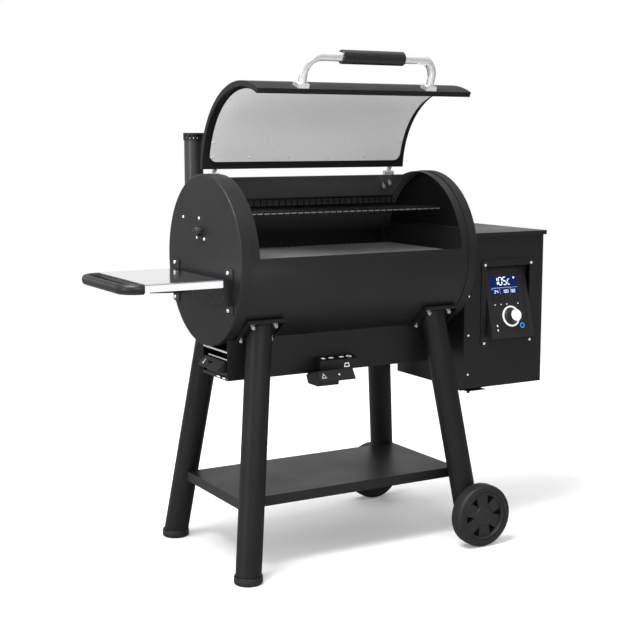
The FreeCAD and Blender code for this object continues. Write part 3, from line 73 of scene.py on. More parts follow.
class Surface:
    """One procedural material: a principled shader with its textures in object space."""

    def __init__(self, name, colour, roughness, metallic=0.0, **sockets):
        self.material = bpy.data.materials.new(name)
        self.material.use_nodes = True
        self.nodes = self.material.node_tree.nodes
        self.links = self.material.node_tree.links
        self.shader = self.nodes["Principled BSDF"]
        self.colour = colour
        self.shader.inputs["Base Color"].default_value = (*colour, 1)
        self.shader.inputs["Roughness"].default_value = roughness
        self.shader.inputs["Metallic"].default_value = metallic
        for socket, value in sockets.items():
            self.shader.inputs[socket.replace("_", " ")].default_value = value
        self.place = self.nodes.new("ShaderNodeTexCoord").outputs["Object"]
        self.height = None

    def stretched(self, stretch):
        mapping = self.nodes.new("ShaderNodeMapping")
        mapping.inputs["Scale"].default_value = stretch
        self.links.new(self.place, mapping.inputs["Vector"])
        return mapping.outputs["Vector"]

    def noise(self, scale, detail=3.0, stretch=(1, 1, 1), rough=0.55):
        texture = self.nodes.new("ShaderNodeTexNoise")
        texture.inputs["Scale"].default_value = scale
        texture.inputs["Detail"].default_value = detail
        texture.inputs["Roughness"].default_value = rough
        self.links.new(self.stretched(stretch), texture.inputs["Vector"])
        return texture.outputs["Fac"]

    def cells(self, scale):
        texture = self.nodes.new("ShaderNodeTexVoronoi")
        texture.inputs["Scale"].default_value = scale
        self.links.new(self.place, texture.inputs["Vector"])
        return texture.outputs["Distance"]

    def spread(self, value, low, high, start=0.3, end=0.7):
        """The texture's values from start to end, turned into low to high."""
        change = self.nodes.new("ShaderNodeMapRange")
        for socket, number in (("From Min", start), ("From Max", end), ("To Min", low), ("To Max", high)):
            change.inputs[socket].default_value = number
        self.links.new(value, change.inputs["Value"])
        return change.outputs["Result"]

    def colour_mix(self):
        """A node that mixes two colours: input 0 is the factor, 6 and 7 the colours."""
        mix = self.nodes.new("ShaderNodeMix")
        mix.data_type = "RGBA"
        return mix

    def tint(self, value, light, dark):
        """Shifts the base colour between a darker and a lighter tone."""
        mix = self.colour_mix()
        mix.inputs[6].default_value = (*[c * dark for c in self.colour], 1)
        mix.inputs[7].default_value = (*[min(1, c * light) for c in self.colour], 1)
        self.links.new(value, mix.inputs[0])
        self.links.new(mix.outputs[2], self.shader.inputs["Base Color"])
        return self

    def rough(self, value, low, high, start=0.3, end=0.7):
        self.links.new(self.spread(value, low, high, start, end), self.shader.inputs["Roughness"])
        return self

    def bump(self, value, depth, strength=1.0):
        bump = self.nodes.new("ShaderNodeBump")
        bump.inputs["Strength"].default_value = strength
        bump.inputs["Distance"].default_value = depth
        self.links.new(value, bump.inputs["Height"])
        if self.height is not None:
            self.links.new(self.height, bump.inputs["Normal"])
        self.height = bump.outputs["Normal"]
        self.links.new(self.height, self.shader.inputs["Normal"])
        return self

    def inside(self, radius, high, low):
        """Inside a radius of the barrel's axis: painted light, a much lighter tone high up, fading to painted
        shade, a darker tone low down.
        """
        fade_low, fade_high, edge = 0.93, 1.09, 0.0003
        split = self.nodes.new("ShaderNodeSeparateXYZ")
        self.links.new(self.place, split.inputs[0])
        across = self.nodes.new("ShaderNodeCombineXYZ")
        self.links.new(split.outputs["Y"], across.inputs["Y"])
        self.links.new(split.outputs["Z"], across.inputs["Z"])
        reach = self.nodes.new("ShaderNodeVectorMath")
        reach.operation = "DISTANCE"
        reach.inputs[1].default_value = (0, 0, AXIS_Z)
        self.links.new(across.outputs[0], reach.inputs[0])
        mix, painted_height_light = self.colour_mix(), self.colour_mix()
        painted_height_light.inputs[6].default_value = (low, low, low, 1)
        painted_height_light.inputs[7].default_value = (high, high, high, 1)
        self.links.new(self.spread(split.outputs["Z"], 0, 1, fade_low, fade_high), painted_height_light.inputs[0])
        self.links.new(painted_height_light.outputs[2], mix.inputs[7])
        self.links.new(self.spread(reach.outputs["Value"], 1, 0, radius - edge, radius), mix.inputs[0])
        base = self.shader.inputs["Base Color"]
        self.links.new(base.links[0].from_socket, mix.inputs[6])
        self.links.new(mix.outputs[2], base)
        return self

    def shaded_low(self, height, reach, tone):
        """Painted shade: a darker tone for what lies below a height and left of a reach along X."""
        edge = 0.002
        split = self.nodes.new("ShaderNodeSeparateXYZ")
        self.links.new(self.place, split.inputs[0])
        either = self.nodes.new("ShaderNodeMath")
        either.operation = "MAXIMUM"
        self.links.new(self.spread(split.outputs["Z"], 0, 1, height, height + edge), either.inputs[0])
        self.links.new(self.spread(split.outputs["X"], 0, 1, reach, reach + edge), either.inputs[1])
        mix = self.colour_mix()
        mix.inputs[6].default_value = (tone, tone, tone, 1)
        base = self.shader.inputs["Base Color"]
        self.links.new(base.links[0].from_socket, mix.inputs[7])
        self.links.new(either.outputs[0], mix.inputs[0])
        self.links.new(mix.outputs[2], base)
        return self

    def dimmed(self, tone):
        """For the floor: reflections in the object show a darker tone than the floor itself has."""
        path = self.nodes.new("ShaderNodeLightPath")
        plain = self.nodes.new("ShaderNodeBsdfDiffuse")
        plain.inputs["Color"].default_value = (tone, tone, tone, 1)
        mix = self.nodes.new("ShaderNodeMixShader")
        self.links.new(path.outputs["Is Glossy Ray"], mix.inputs[0])
        self.links.new(self.shader.outputs[0], mix.inputs[1])
        self.links.new(plain.outputs[0], mix.inputs[2])
        self.links.new(mix.outputs[0], self.nodes["Material Output"].inputs["Surface"])
        return self

    def glow(self, colour, strength):
        self.shader.inputs["Emission Color"].default_value = (*colour, 1)
        self.shader.inputs["Emission Strength"].default_value = strength
        return self


def powder_coat(name, colour, low, high, grain=1400.0, depth=0.00006, shine=0.4):
    surface = Surface(name, colour, low, Specular_IOR_Level=shine)
    fine = surface.noise(grain, 2.0)
    broad = surface.noise(5.0, 4.0)
    surface.tint(surface.spread(surface.noise(9.0, 5.0), 0, 1), 1.12, 0.9)
    surface.rough(broad, low, high).bump(fine, depth, 0.6)
    return surface.bump(surface.noise(60.0, 2.0), 0.00008, 0.25)


def brushed(name, colour, low, high, stretch, depth=0.00002, grain=260.0, metal=1.0, relief=0.35):
    surface = Surface(name, colour, low, metal)
    lines = surface.noise(grain, 4.0, stretch)
    surface.tint(surface.spread(lines, 0, 1), 1.06, 0.93)
    surface.rough(lines, low, high).bump(lines, depth, relief)
    return surface


def moulded(name, colour, low, high, grain, depth):
    surface = Surface(name, colour, low, Specular_IOR_Level=0.4)
    surface.tint(surface.spread(surface.noise(14.0, 4.0), 0, 1), 1.15, 0.88)
    surface.rough(surface.noise(35.0, 4.0), low, high)
    return surface.bump(surface.cells(grain), depth, 0.5).bump(surface.noise(grain * 1.7, 2.0), depth, 0.35)


def lit(name, colour, roughness, dark, light, strength):
    """A lamp or a lit figure."""
    surface = Surface(name, colour, roughness)
    surface.tint(surface.spread(surface.noise(900.0, 2.0), 0, 1), 1.1, dark)
    return surface.glow(light, strength)


def liner_sheet():
    surface = Surface("speckled_aluminised_sheet", (0.72, 0.72, 0.72), 0.6, 0.2)
    speckle = surface.noise(620.0, 2.0, rough=0.7)
    surface.tint(surface.spread(speckle, 0, 1, 0.34, 0.68), 1.14, 0.86)
    surface.rough(surface.noise(150.0, 3.0), 0.45, 0.65)
    return surface.bump(speckle, 0.00022, 0.5).bump(surface.cells(900.0), 0.0001, 0.35)


def display_glass():
    surface = Surface("display_window", (0.002, 0.004, 0.03), 0.12, Specular_IOR_Level=0.15)
    surface.tint(surface.spread(surface.noise(40.0, 3.0), 0, 1), 1.15, 0.88)
    return surface.bump(surface.noise(180.0, 2.0), 0.00001, 0.2).glow((0.006, 0.017, 0.12), 0.6)


# Pale printed marks; their glow is painted light that keeps them white in the shade.
def mark_paint():
    surface = Surface("pale_mark_paint_painted_glow", (0.7, 0.7, 0.7), 0.5)
    surface.tint(surface.spread(surface.noise(700.0, 3.0), 0, 1), 1.1, 0.85)
    return surface.bump(surface.noise(1500.0, 2.0), 0.00003, 0.4).glow(WHITE, 0.4)


def studio_floor():
    surface = Surface("studio_floor", (0.93, 0.93, 0.93), 0.7, Specular_IOR_Level=0.1)
    surface.tint(surface.spread(surface.noise(2.0, 3.0), 0, 1), 1.004, 0.996)
    return surface.glow(WHITE, 0.15).dimmed(0.3)


def make_surfaces():
    made = {
        "black_enamel": powder_coat("satin_black_powder_coat", ENAMEL, 0.36, 0.46),
        # The barrel's inside is painted: lighter high up as painted light, darker low down as painted shade.
        "barrel_enamel": powder_coat("barrel_powder_coat_painted_inner_light", ENAMEL, 0.36, 0.46).inside(
            SHELL_INNER, 0.17, 0.0035),
        "leg_enamel": powder_coat("leg_powder_coat", ENAMEL, 0.4, 0.5, shine=0.24),
        "lid_enamel": powder_coat("lid_powder_coat", ENAMEL, 0.36, 0.46, shine=0.2),
        "flue_enamel": powder_coat("flue_powder_coat", (0.02, 0.02, 0.0202), 0.3, 0.4, shine=0.7),
        "cap_enamel": powder_coat("end_cap_powder_coat", (0.0105, 0.0105, 0.0108), 0.40, 0.50, 1700.0,
                                  shine=0.3),
        "chamber_enamel": powder_coat("chamber_black_enamel", (0.016, 0.016, 0.016), 0.52, 0.66, 900.0,
                                      0.00009),
        "grate_iron": powder_coat("seasoned_cast_iron", (0.22, 0.22, 0.221), 0.42, 0.62, 520.0, 0.00028),
        "rack_wire": powder_coat("sooty_rack_wire", (0.005, 0.005, 0.005), 0.5, 0.62, 700.0, 0.00004,
                                 shine=0.2),
        # The rack's front rail gets a far lighter tone than its wires.
        "rack_rail": powder_coat("pale_rack_rail", (0.16, 0.16, 0.16), 0.36, 0.5, 700.0, 0.00004),
        "dark_steel": powder_coat("blackened_steel", (0.026, 0.026, 0.027), 0.36, 0.52, 700.0, 0.00007),
        "bright_steel": brushed("brushed_stainless", (0.57, 0.57, 0.58), 0.09, 0.14, (0.02, 1.0, 1.0),
                                0.000004, 1800.0, relief=0.06),
        "polished_steel": brushed("polished_stainless", (0.94, 0.94, 0.945), 0.07, 0.12, (1.0, 1.0, 0.2),
                                  0.000004, metal=0.72),
        # Low screws, except at the far right, get a darker tone here: painted shade.
        "screw_steel": brushed("bright_screw_steel", (0.97, 0.97, 0.97), 0.2, 0.3, (1.0, 1.0, 1.0),
                               metal=0.5).shaded_low(0.745, 0.405, 0.6),
        "dial_steel": brushed("bright_dial_metal_painted_glow", (0.97, 0.97, 0.97), 0.2, 0.3, (1.0, 1.0, 1.0), metal=0.3),
        "black_resin": moulded("grained_black_resin", (0.010, 0.010, 0.0103), 0.34, 0.44, 1500.0, 0.00005),
        "grip_resin": moulded("smooth_grip_resin", (0.013, 0.013, 0.013), 0.24, 0.32, 2400.0, 0.00002),
        "panel_resin": moulded("panel_black_resin", (0.013, 0.013, 0.0135), 0.32, 0.42, 1900.0, 0.00004),
        "wheel_resin": moulded("wheel_black_resin", (0.013, 0.013, 0.0135), 0.36, 0.48, 1300.0, 0.00006),
        "tyre_rubber": moulded("tyre_rubber", (0.011, 0.011, 0.011), 0.46, 0.62, 800.0, 0.00012),
        "galvanised": brushed("galvanised_sheet", (0.5, 0.5, 0.51), 0.32, 0.48, (1.0, 1.0, 1.0)),
    }
    # Painted light: the dial's cap and ring glow a little, which keeps them bright.
    made["dial_steel"].glow(WHITE, 0.3)
    made.update(aluminised_sheet=liner_sheet(), display_gloss=display_glass(), mark_paint=mark_paint(),
                floor=studio_floor())
    made["lit_marks"] = lit("lit_display_marks", (0.6, 0.68, 0.85), 0.4, 0.92, (0.83, 0.9, 1.0), 1.05)
    made["dim_marks"] = lit("dim_display_marks", (0.3, 0.36, 0.55), 0.4, 0.92, (0.42, 0.5, 0.78), 0.55)
    made["blue_light"] = lit("lit_power_ring", (0.02, 0.22, 0.7), 0.35, 0.9, (0.015, 0.27, 0.9), 0.9)
    return {key: surface.material for key, surface in made.items()}


LOOK = make_surfaces()


def finish_node(name, look):
    """Gives a CAD node's object one procedural material."""
    mesh = NODES[name].data
    mesh.materials.clear()
    mesh.materials.append(LOOK[look])
    smooth_by_angle(NODES[name])


def smooth_by_angle(thing, angle=32):
    for polygon in thing.data.polygons:
        polygon.use_smooth = True
    limit = math.radians(angle)
    bm = bmesh.new()
    bm.from_mesh(thing.data)
    for edge in bm.edges:
        edge.smooth = len(edge.link_faces) != 2 or edge.calc_face_angle(0) < limit
    flags = [not edge.smooth for edge in bm.edges]
    bm.free()
    attributes = thing.data.attributes
    attribute = attributes.get("sharp_edge") or attributes.new("sharp_edge", "BOOLEAN", "EDGE")
    attribute.data.foreach_set("value", flags)


# ---------------------------------------------------------------- mesh tools

def add_piece(name, bm, look, body, slot, *replaced, bevel=0.0, segments=2, smooth=32):
    """Makes an object of a bmesh, and says what body it rides on and the nodes it stands for; its slot is not
    used.
    """
    bmesh.ops.recalc_face_normals(bm, faces=bm.faces)
    mesh = bpy.data.meshes.new(name)
    bm.to_mesh(mesh)
    bm.free()
    thing = bpy.data.objects.new(name, mesh)
    bpy.context.scene.collection.objects.link(thing)
    mesh.materials.append(LOOK[look])
    if bevel:
        add_bevel(thing, bevel, segments)
    smooth_by_angle(thing, smooth)
    if bevel:
        weigh_normals(thing)
    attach(thing, body)
    if replaced:
        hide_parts(*replaced)


def add_bevel(thing, width, segments):
    """Rounds the piece's sharp edges and keeps the result in its mesh."""
    modifier = thing.modifiers.new("edge_round", "BEVEL")
    modifier.width, modifier.segments = width, segments
    modifier.limit_method, modifier.angle_limit = "ANGLE", math.radians(35)
    modifier.use_clamp_overlap = True
    keep_result(thing)


def weigh_normals(thing):
    """Keeps the shading of large flat faces flat beside the small rounded edges."""
    modifier = thing.modifiers.new("flat_faces", "WEIGHTED_NORMAL")
    modifier.keep_sharp, modifier.weight = True, 90
    keep_result(thing)


def keep_result(thing):
    """Puts what the object's modifiers make into its mesh."""
    bpy.context.view_layer.update()
    shaped = bpy.data.meshes.new_from_object(thing.evaluated_get(bpy.context.evaluated_depsgraph_get()))
    thing.modifiers.clear()
    thing.data = shaped


def softened(node, look, body, width, smooth=40):
    """A copy of a CAD node with its flat faces cleaned up and its edges rounded; it stands for the node."""
    bm = bmesh.new()
    bm.from_mesh(NODES[node].data)
    bmesh.ops.remove_doubles(bm, verts=bm.verts, dist=1e-6)
    bmesh.ops.dissolve_limit(bm, angle_limit=math.radians(0.6), verts=bm.verts, edges=bm.edges)
    add_piece(node + "_shaped", bm, look, body, look, node, bevel=width, smooth=smooth)


def add_box(bm, low, high):
    middle = [(a + b) / 2 for a, b in zip(low, high)]
    spans = [b - a for a, b in zip(low, high)]
    bmesh.ops.create_cube(bm, size=1, matrix=Matrix.Translation(middle) @ Matrix.Diagonal((*spans, 1)))


def add_rod(bm, start, end, radius, sides=10):
    start, end = Vector(start), Vector(end)
    along = end - start
    turn = Vector((0, 0, 1)).rotation_difference(along).to_matrix().to_4x4()
    bmesh.ops.create_cone(bm, cap_ends=True, segments=sides, radius1=radius, radius2=radius,
                          depth=along.length, matrix=Matrix.Translation((start + end) / 2) @ turn)


def add_lathe(bm, profile, matrix, steps=64, wobble=None):
    """Turns a closed outline of (radius, height) points about Z; wobble(step) scales the radii, for ribs."""
    rings = []
    for step in range(steps):
        angle = 2 * math.pi * step / steps
        scale = wobble(step) if wobble else None
        ring = []
        for index, (radius, height) in enumerate(profile):
            r = radius * scale[index] if scale else radius
            ring.append(bm.verts.new(matrix @ Vector((r * math.cos(angle), r * math.sin(angle), height))))
        rings.append(ring)
    count = len(profile)
    for step in range(steps):
        here, there = rings[step], rings[(step + 1) % steps]
        for index in range(count):
            nxt = (index + 1) % count
            if profile[index][0] < 1e-9 and profile[nxt][0] < 1e-9:
                continue
            bm.faces.new((here[index], here[nxt], there[nxt], there[index]))
    bmesh.ops.remove_doubles(bm, verts=bm.verts, dist=1e-7)


def ribbing(ribs, steps, height, ribbed):
    """For add_lathe: ribs of a relative height, on the outline's points that ribbed marks with 1."""
    def scales(step):
        push = 1.0 + height * (0.5 - 0.5 * math.cos(2 * math.pi * step * ribs / steps))
        return [push if mark else 1 for mark in ribbed]
    return scales


def add_sheet(bm, points, depth, matrix):
    """A flat plate from an outline of (x, y) points, depth thick along Z."""
    low = [bm.verts.new(matrix @ Vector((x, y, 0))) for x, y in points]
    high = [bm.verts.new(matrix @ Vector((x, y, depth))) for x, y in points]
    bm.faces.new(low[::-1])
    bm.faces.new(high)
    for index in range(len(points)):
        nxt = (index + 1) % len(points)
        bm.faces.new((low[index], low[nxt], high[nxt], high[index]))


def rectangle(half_x, low_y, high_y):
    return [(-half_x, low_y), (half_x, low_y), (half_x, high_y), (-half_x, high_y)]


def add_box_at(bm, matrix, spans):
    bmesh.ops.create_cube(bm, size=1, matrix=matrix @ Matrix.Diagonal((*spans, 1)))


def facing_y(x, y, z, sign):
    """A frame with Z along +Y or -Y, at a point."""
    return Matrix.Translation((x, y, z)) @ Matrix.Rotation(math.radians(-90 * sign), 4, "X")


def round_point(angle, radius, x=0.0):
    turn = math.radians(angle)
    return Vector((x, -radius * math.cos(turn), AXIS_Z + radius * math.sin(turn)))


def on_panel(x, along, out=0.0):
    """The frame at a point of the control panel's tilted face: Z out of the face, Y up it."""
    up = Vector((0, math.sin(PANEL_TILT), math.cos(PANEL_TILT)))
    away = Vector((0, -math.cos(PANEL_TILT), math.sin(PANEL_TILT)))
    at = Vector((x, PANEL_AT.y, PANEL_AT.z)) + up * along + away * out
    return Matrix.Translation(at) @ Matrix((Vector((1, 0, 0)), up, away)).transposed().to_4x4()


# ---------------------------------------------------------------- pieces

def build_seams():
    """Two weld seams inside the chamber's right end, and the right heat shield's folded top edge."""
    bm = bmesh.new()
    seam_radius, fold_x, fold_z, fold_reach = 0.2412, 0.3872, 0.960, 0.222
    for x in (0.368, 0.381):
        spots = [round_point(angle, seam_radius, x) for angle in range(52, 200, 4)]
        for here, there in zip(spots, spots[1:]):
            add_rod(bm, here, there, 0.0011, 6)
    add_rod(bm, (fold_x, -fold_reach, fold_z), (fold_x, fold_reach, fold_z), 0.0016, 8)
    add_piece("chamber_seams", bm, "dark_steel", "cabinet", "black_enamel")


def build_rack():
    """Warming rack: round wires, with a fence along its back."""
    bm = bmesh.new()
    low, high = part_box("warming_rack")
    floor, top, wire = low.z + 0.006, high.z, 0.002
    front, back = low.y + wire, high.y - wire
    nose, fence, under, rest = front - 0.0006, top - wire, floor - 0.0035, floor - 0.0045
    left, right, count, wall = -0.346, 0.350, 32, 0.392
    ends = left - 0.003, right + 0.003
    for index in range(count + 1):
        x = left + (right - left) * index / count
        add_rod(bm, (x, nose, floor), (x, back, floor), 0.0018, 8)
        add_rod(bm, (x, nose, floor + 0.0012), (x, nose, floor - 0.0075), 0.0018, 8)
        add_rod(bm, (x, back, floor), (x, back, fence), 0.0021, 8)
    for y, z, radius in ((back, floor, 0.0026), (back, fence, 0.0028), (0.022, under, 0.0024),
                         (-0.055, under, 0.0024), (0.1, under, 0.0024)):
        add_rod(bm, (ends[0], y, z), (ends[1], y, z), radius, 10)
    for y in (-0.056, 0.124):
        add_rod(bm, (-wall, y, rest), (left + 0.004, y, rest), 0.003, 10)
        add_rod(bm, (right - 0.004, y, rest), (wall, y, rest), 0.003, 10)
    add_piece("warming_rack_wires", bm, "rack_wire", "cabinet", "dark_steel", "warming_rack")
    bm = bmesh.new()
    rail_y = front + 0.0014
    add_rod(bm, (ends[0], rail_y, rest), (ends[1], rail_y, rest), 0.0019, 12)
    add_piece("warming_rack_rail", bm, "rack_rail", "cabinet", "dark_steel")


def build_grates():
    """Cast grates: bars with a narrow crown, on three cross bars."""
    bars, pitch, half, crown, taper = 22, 0.017, 0.0035, 0.0016, 0.004
    for side in ("left", "right"):
        node = "cooking_grate_" + side
        low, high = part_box(node)
        bm = bmesh.new()
        shoulder = high.z - taper
        profile = [(-half, low.z), (half, low.z), (half, shoulder), (crown, high.z), (-crown, high.z),
                   (-half, shoulder)]
        for index in range(bars):
            add_bar(bm, low.x + pitch * index + half, profile, low.y + 0.006, high.y - 0.006)
        for y in (low.y + 0.005, 0.0, high.y - 0.005):
            add_box(bm, (low.x, y - 0.005, low.z), (high.x, y + 0.005, high.z - 0.0045))
        add_piece(node + "_cast", bm, "grate_iron", "cabinet", "grate_iron", node, bevel=0.0006, segments=1)


def add_bar(bm, x, profile, start, end):
    """A bar along Y with an outline of (x, z) points."""
    ends = [[bm.verts.new((x + dx, y, z)) for dx, z in profile] for y in (start, end)]
    bm.faces.new(ends[0])
    bm.faces.new(ends[1][::-1])
    for index in range(len(profile)):
        nxt = (index + 1) % len(profile)
        bm.faces.new((ends[0][index], ends[1][index], ends[1][nxt], ends[0][nxt]))


def build_guard():
    """Wire grille over the hopper's bin."""
    bm = bmesh.new()
    low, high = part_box("pellet_guard")
    middle = (low.z + high.z) / 2
    for index in range(13):
        x = low.x + 0.010 + 0.023 * index
        add_rod(bm, (x, low.y + 0.001, middle + 0.001), (x, high.y - 0.001, middle + 0.001), 0.0019, 8)
    for y in (low.y + 0.003, 0.043, high.y - 0.003):
        add_rod(bm, (low.x + 0.0005, y, middle - 0.0028), (high.x - 0.0005, y, middle - 0.0028), 0.0022, 8)
    add_piece("pellet_guard_wires", bm, "dark_steel", "cabinet", "dark_steel", "pellet_guard")


def build_wheel(side, sign):
    """Tyre with a rounded shoulder and a groove round its side, and its hub."""
    low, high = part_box(side + "_tyre")
    base = facing_y(WHEEL_X, (low.y + high.y) / 2 - sign * TYRE_WIDTH / 2, WHEEL_RADIUS, sign)
    bm = bmesh.new()
    profile = [(0.0745, 0.002), (0.084, 0.0008), (0.0915, 0.002), (0.0945, 0.006), (0.0955, 0.012),
               (WHEEL_RADIUS, 0.018), (WHEEL_RADIUS, 0.030), (0.0955, 0.036), (0.0946, 0.0415),
               (0.0925, 0.0455), (0.0885, 0.0475), (0.0862, 0.0478), (0.0852, 0.0470), (0.0832, 0.0470),
               (0.0822, 0.0478), (0.078, 0.0474), (0.0745, 0.0462)]
    add_lathe(bm, profile, base, 96)
    add_piece(side + "_tyre_shaped", bm, "tyre_rubber", side + "_wheel", "tyre_rubber", side + "_tyre",
              smooth=38)
    build_hub(side, base)


def build_hub(side, base):
    """Hub with a rim, six broad spokes over a recessed web, and a raised centre cap."""
    bm = bmesh.new()
    width, face = TYRE_WIDTH, TYRE_WIDTH - 0.007
    rim = [(0.0645, 0.004), (0.0738, 0.003), (0.0738, width - 0.003), (0.0722, width - 0.0012),
           (0.0692, width - 0.0012), (0.0672, width - 0.004), (0.0645, width - 0.0045),
           (0.0632, face - 0.002)]
    add_lathe(bm, rim, base, 96)
    core = [(0.0061, 0.003), (0.018, 0.003), (0.026, face - 0.016), (0.032, face - 0.001), (0.0300, face),
            (0.0282, face + 0.0016), (0.0262, face + 0.0022), (0.0246, face + 0.0006), (0.012, face + 0.0022),
            (0.0, face + 0.0026), (0.0, face - 0.010), (0.0061, face - 0.010)]
    add_lathe(bm, core, base, 72)
    web = [(0.0255, face - 0.024), (0.0648, face - 0.024), (0.0648, face - 0.021), (0.0255, face - 0.021)]
    add_lathe(bm, web, base, 72)
    spokes, first = 6, 35
    for index in range(spokes):
        outline = spoke_outline(index * 360 / spokes + first)
        add_sheet(bm, outline, 0.012, base @ Matrix.Translation((0, 0, face - 0.0135)))
    add_piece(side + "_hub_shaped", bm, "wheel_resin", side + "_wheel", "wheel_resin", side + "_hub",
              bevel=0.0007, smooth=36)


def spoke_outline(angle):
    """A broad spoke whose sides leave a wedge-shaped pocket, narrow at the centre."""
    points = []
    for radius, half in ((0.0655, 18.5), (0.0655, 6), (0.0655, -6), (0.0655, -18.5), (0.036, -29),
                         (0.028, -31), (0.028, 0), (0.028, 31), (0.036, 29)):
        turn = math.radians(angle + half)
        points.append((radius * math.cos(turn), radius * math.sin(turn)))
    return points


def build_feet():
    """Ribbed round feet under the two left legs."""
    low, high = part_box("leg_feet")
    bm = bmesh.new()
    outer, foot_radius, steps = 0.0400, 0.041, 288
    profile = [(0.030, 0.0035), (0.030, 0.0), (0.0375, 0.0), (0.0395, 0.0015), (outer, 0.003),
               (outer, 0.0155), (0.0392, 0.0168), (0.0407, 0.0175), (0.0408, 0.0205), (0.0396, 0.022),
               (0.0385, 0.022), (0.0385, 0.0035)]
    ribs = ribbing(48, steps, 0.022, (0, 0, 0, 0, 1, 1, 0, 0, 0, 0, 0, 0))
    for sign in (-1, 1):
        centre = Vector(((low.x + high.x) / 2, sign * (abs(high.y) - foot_radius), 0))
        add_lathe(bm, profile, Matrix.Translation(centre), steps, ribs)
    add_piece("ribbed_feet", bm, "black_resin", "cabinet", "black_resin", "leg_feet", smooth=50)


def build_dial():
    """Knob: a waisted black body with fine ribs, a bright cap, and the bright ring round its foot."""
    base, steps = on_panel(0.5754, -0.0475, PANEL_FACE), 240
    bm = bmesh.new()
    profile = [(0.0, 0.0008), (0.0262, 0.0008), (0.0268, 0.0016), (0.0262, 0.0028), (0.0225, 0.0042),
               (0.0200, 0.008), (0.0188, 0.016), (0.0186, 0.0235), (0.0180, 0.0255), (0.0, 0.0255)]
    add_lathe(bm, profile, base, steps, ribbing(40, steps, 0.02, (0, 0, 0, 0, 0, 1, 1, 1, 0, 0)))
    add_piece("dial_body", bm, "panel_resin", "dial", "panel_resin", "control_dial", smooth=50)
    bm = bmesh.new()
    cap = [(0.0, 0.0254), (0.0176, 0.0254), (0.0182, 0.0262), (0.0182, 0.0285), (0.0172, 0.0297),
           (0.0, 0.0302)]
    add_lathe(bm, cap, base, 72)
    add_box_at(bm, base @ Matrix.Translation((0.0, 0.0125, 0.0302)), (0.0012, 0.006, 0.0004))
    add_piece("dial_cap", bm, "dial_steel", "dial", "bright_steel")
    bm = bmesh.new()
    ring = [(0.0274, 0.0), (0.0330, 0.0), (0.0330, 0.0018), (0.0322, 0.0028), (0.0284, 0.0028),
            (0.0274, 0.0016)]
    add_lathe(bm, ring, base, 96)
    add_piece("dial_ring", bm, "dial_steel", "cabinet", "polished_steel")


SEGMENTS = {"0": "abcdef", "1": "bc", "2": "abged", "4": "fgbc", "5": "afgcd", "8": "abcdefg", "C": "adef"}


def add_digit(bm, base, text, height):
    """One seven-segment figure, its lower left corner at the base frame's origin."""
    width, thick = height * 0.52, height * 0.13
    half = height / 2
    spots = {"a": (width / 2, height, 1), "g": (width / 2, half, 1), "d": (width / 2, 0, 1),
             "f": (0, half * 1.5, 0), "b": (width, half * 1.5, 0),
             "e": (0, half / 2, 0), "c": (width, half / 2, 0)}
    for segment in SEGMENTS[text]:
        x, y, flat = spots[segment]
        reach = (width if flat else half) / 2 - thick * 0.28
        outline = [(-reach, 0), (-reach + thick / 2, thick / 2), (reach - thick / 2, thick / 2), (reach, 0),
                   (reach - thick / 2, -thick / 2), (-reach + thick / 2, -thick / 2)]
        if not flat:
            outline = [(-py, px) for px, py in outline]
        add_sheet(bm, outline, MARK_DEPTH, base @ Matrix.Translation((x, y, 0)))


def build_display():
    """Generic lit figures and ruled boxes on the display."""
    bm = bmesh.new()
    for text, x, height in (("1", 0.5275, 0.0235), ("0", 0.5455, 0.0235), ("5", 0.5625, 0.0235),
                            ("C", 0.5805, 0.017)):
        add_digit(bm, on_panel(x, 0.0535, DISPLAY_FACE), text, height)
    arrow = on_panel(0.6055, 0.0735, DISPLAY_FACE)
    add_sheet(bm, [(-0.0045, 0.003), (0.0045, 0.003), (0.0, -0.004)], MARK_DEPTH, arrow)
    for start, text in ((0.524, "24"), (0.556, "180"), (0.592, "82")):
        for step, figure in enumerate(text):
            add_digit(bm, on_panel(start + step * 0.0082, 0.0275, DISPLAY_FACE), figure, 0.0095)
    add_piece("display_figures", bm, "lit_marks", "cabinet", "display_gloss")
    bm = bmesh.new()
    for low, high in (((-0.050, 0.0435), (0.052, 0.0447)), ((-0.0185, 0.024), (-0.0175, 0.0435)),
                      ((0.0235, 0.024), (0.0245, 0.0435)), ((-0.050, 0.0395), (-0.044, 0.0405))):
        middle = on_panel(DISPLAY_X + (low[0] + high[0]) / 2, (low[1] + high[1]) / 2, DISPLAY_FACE)
        add_box_at(bm, middle, (high[0] - low[0], high[1] - low[1], 0.0005))
    add_piece("display_rules", bm, "dim_marks", "cabinet", "display_gloss")


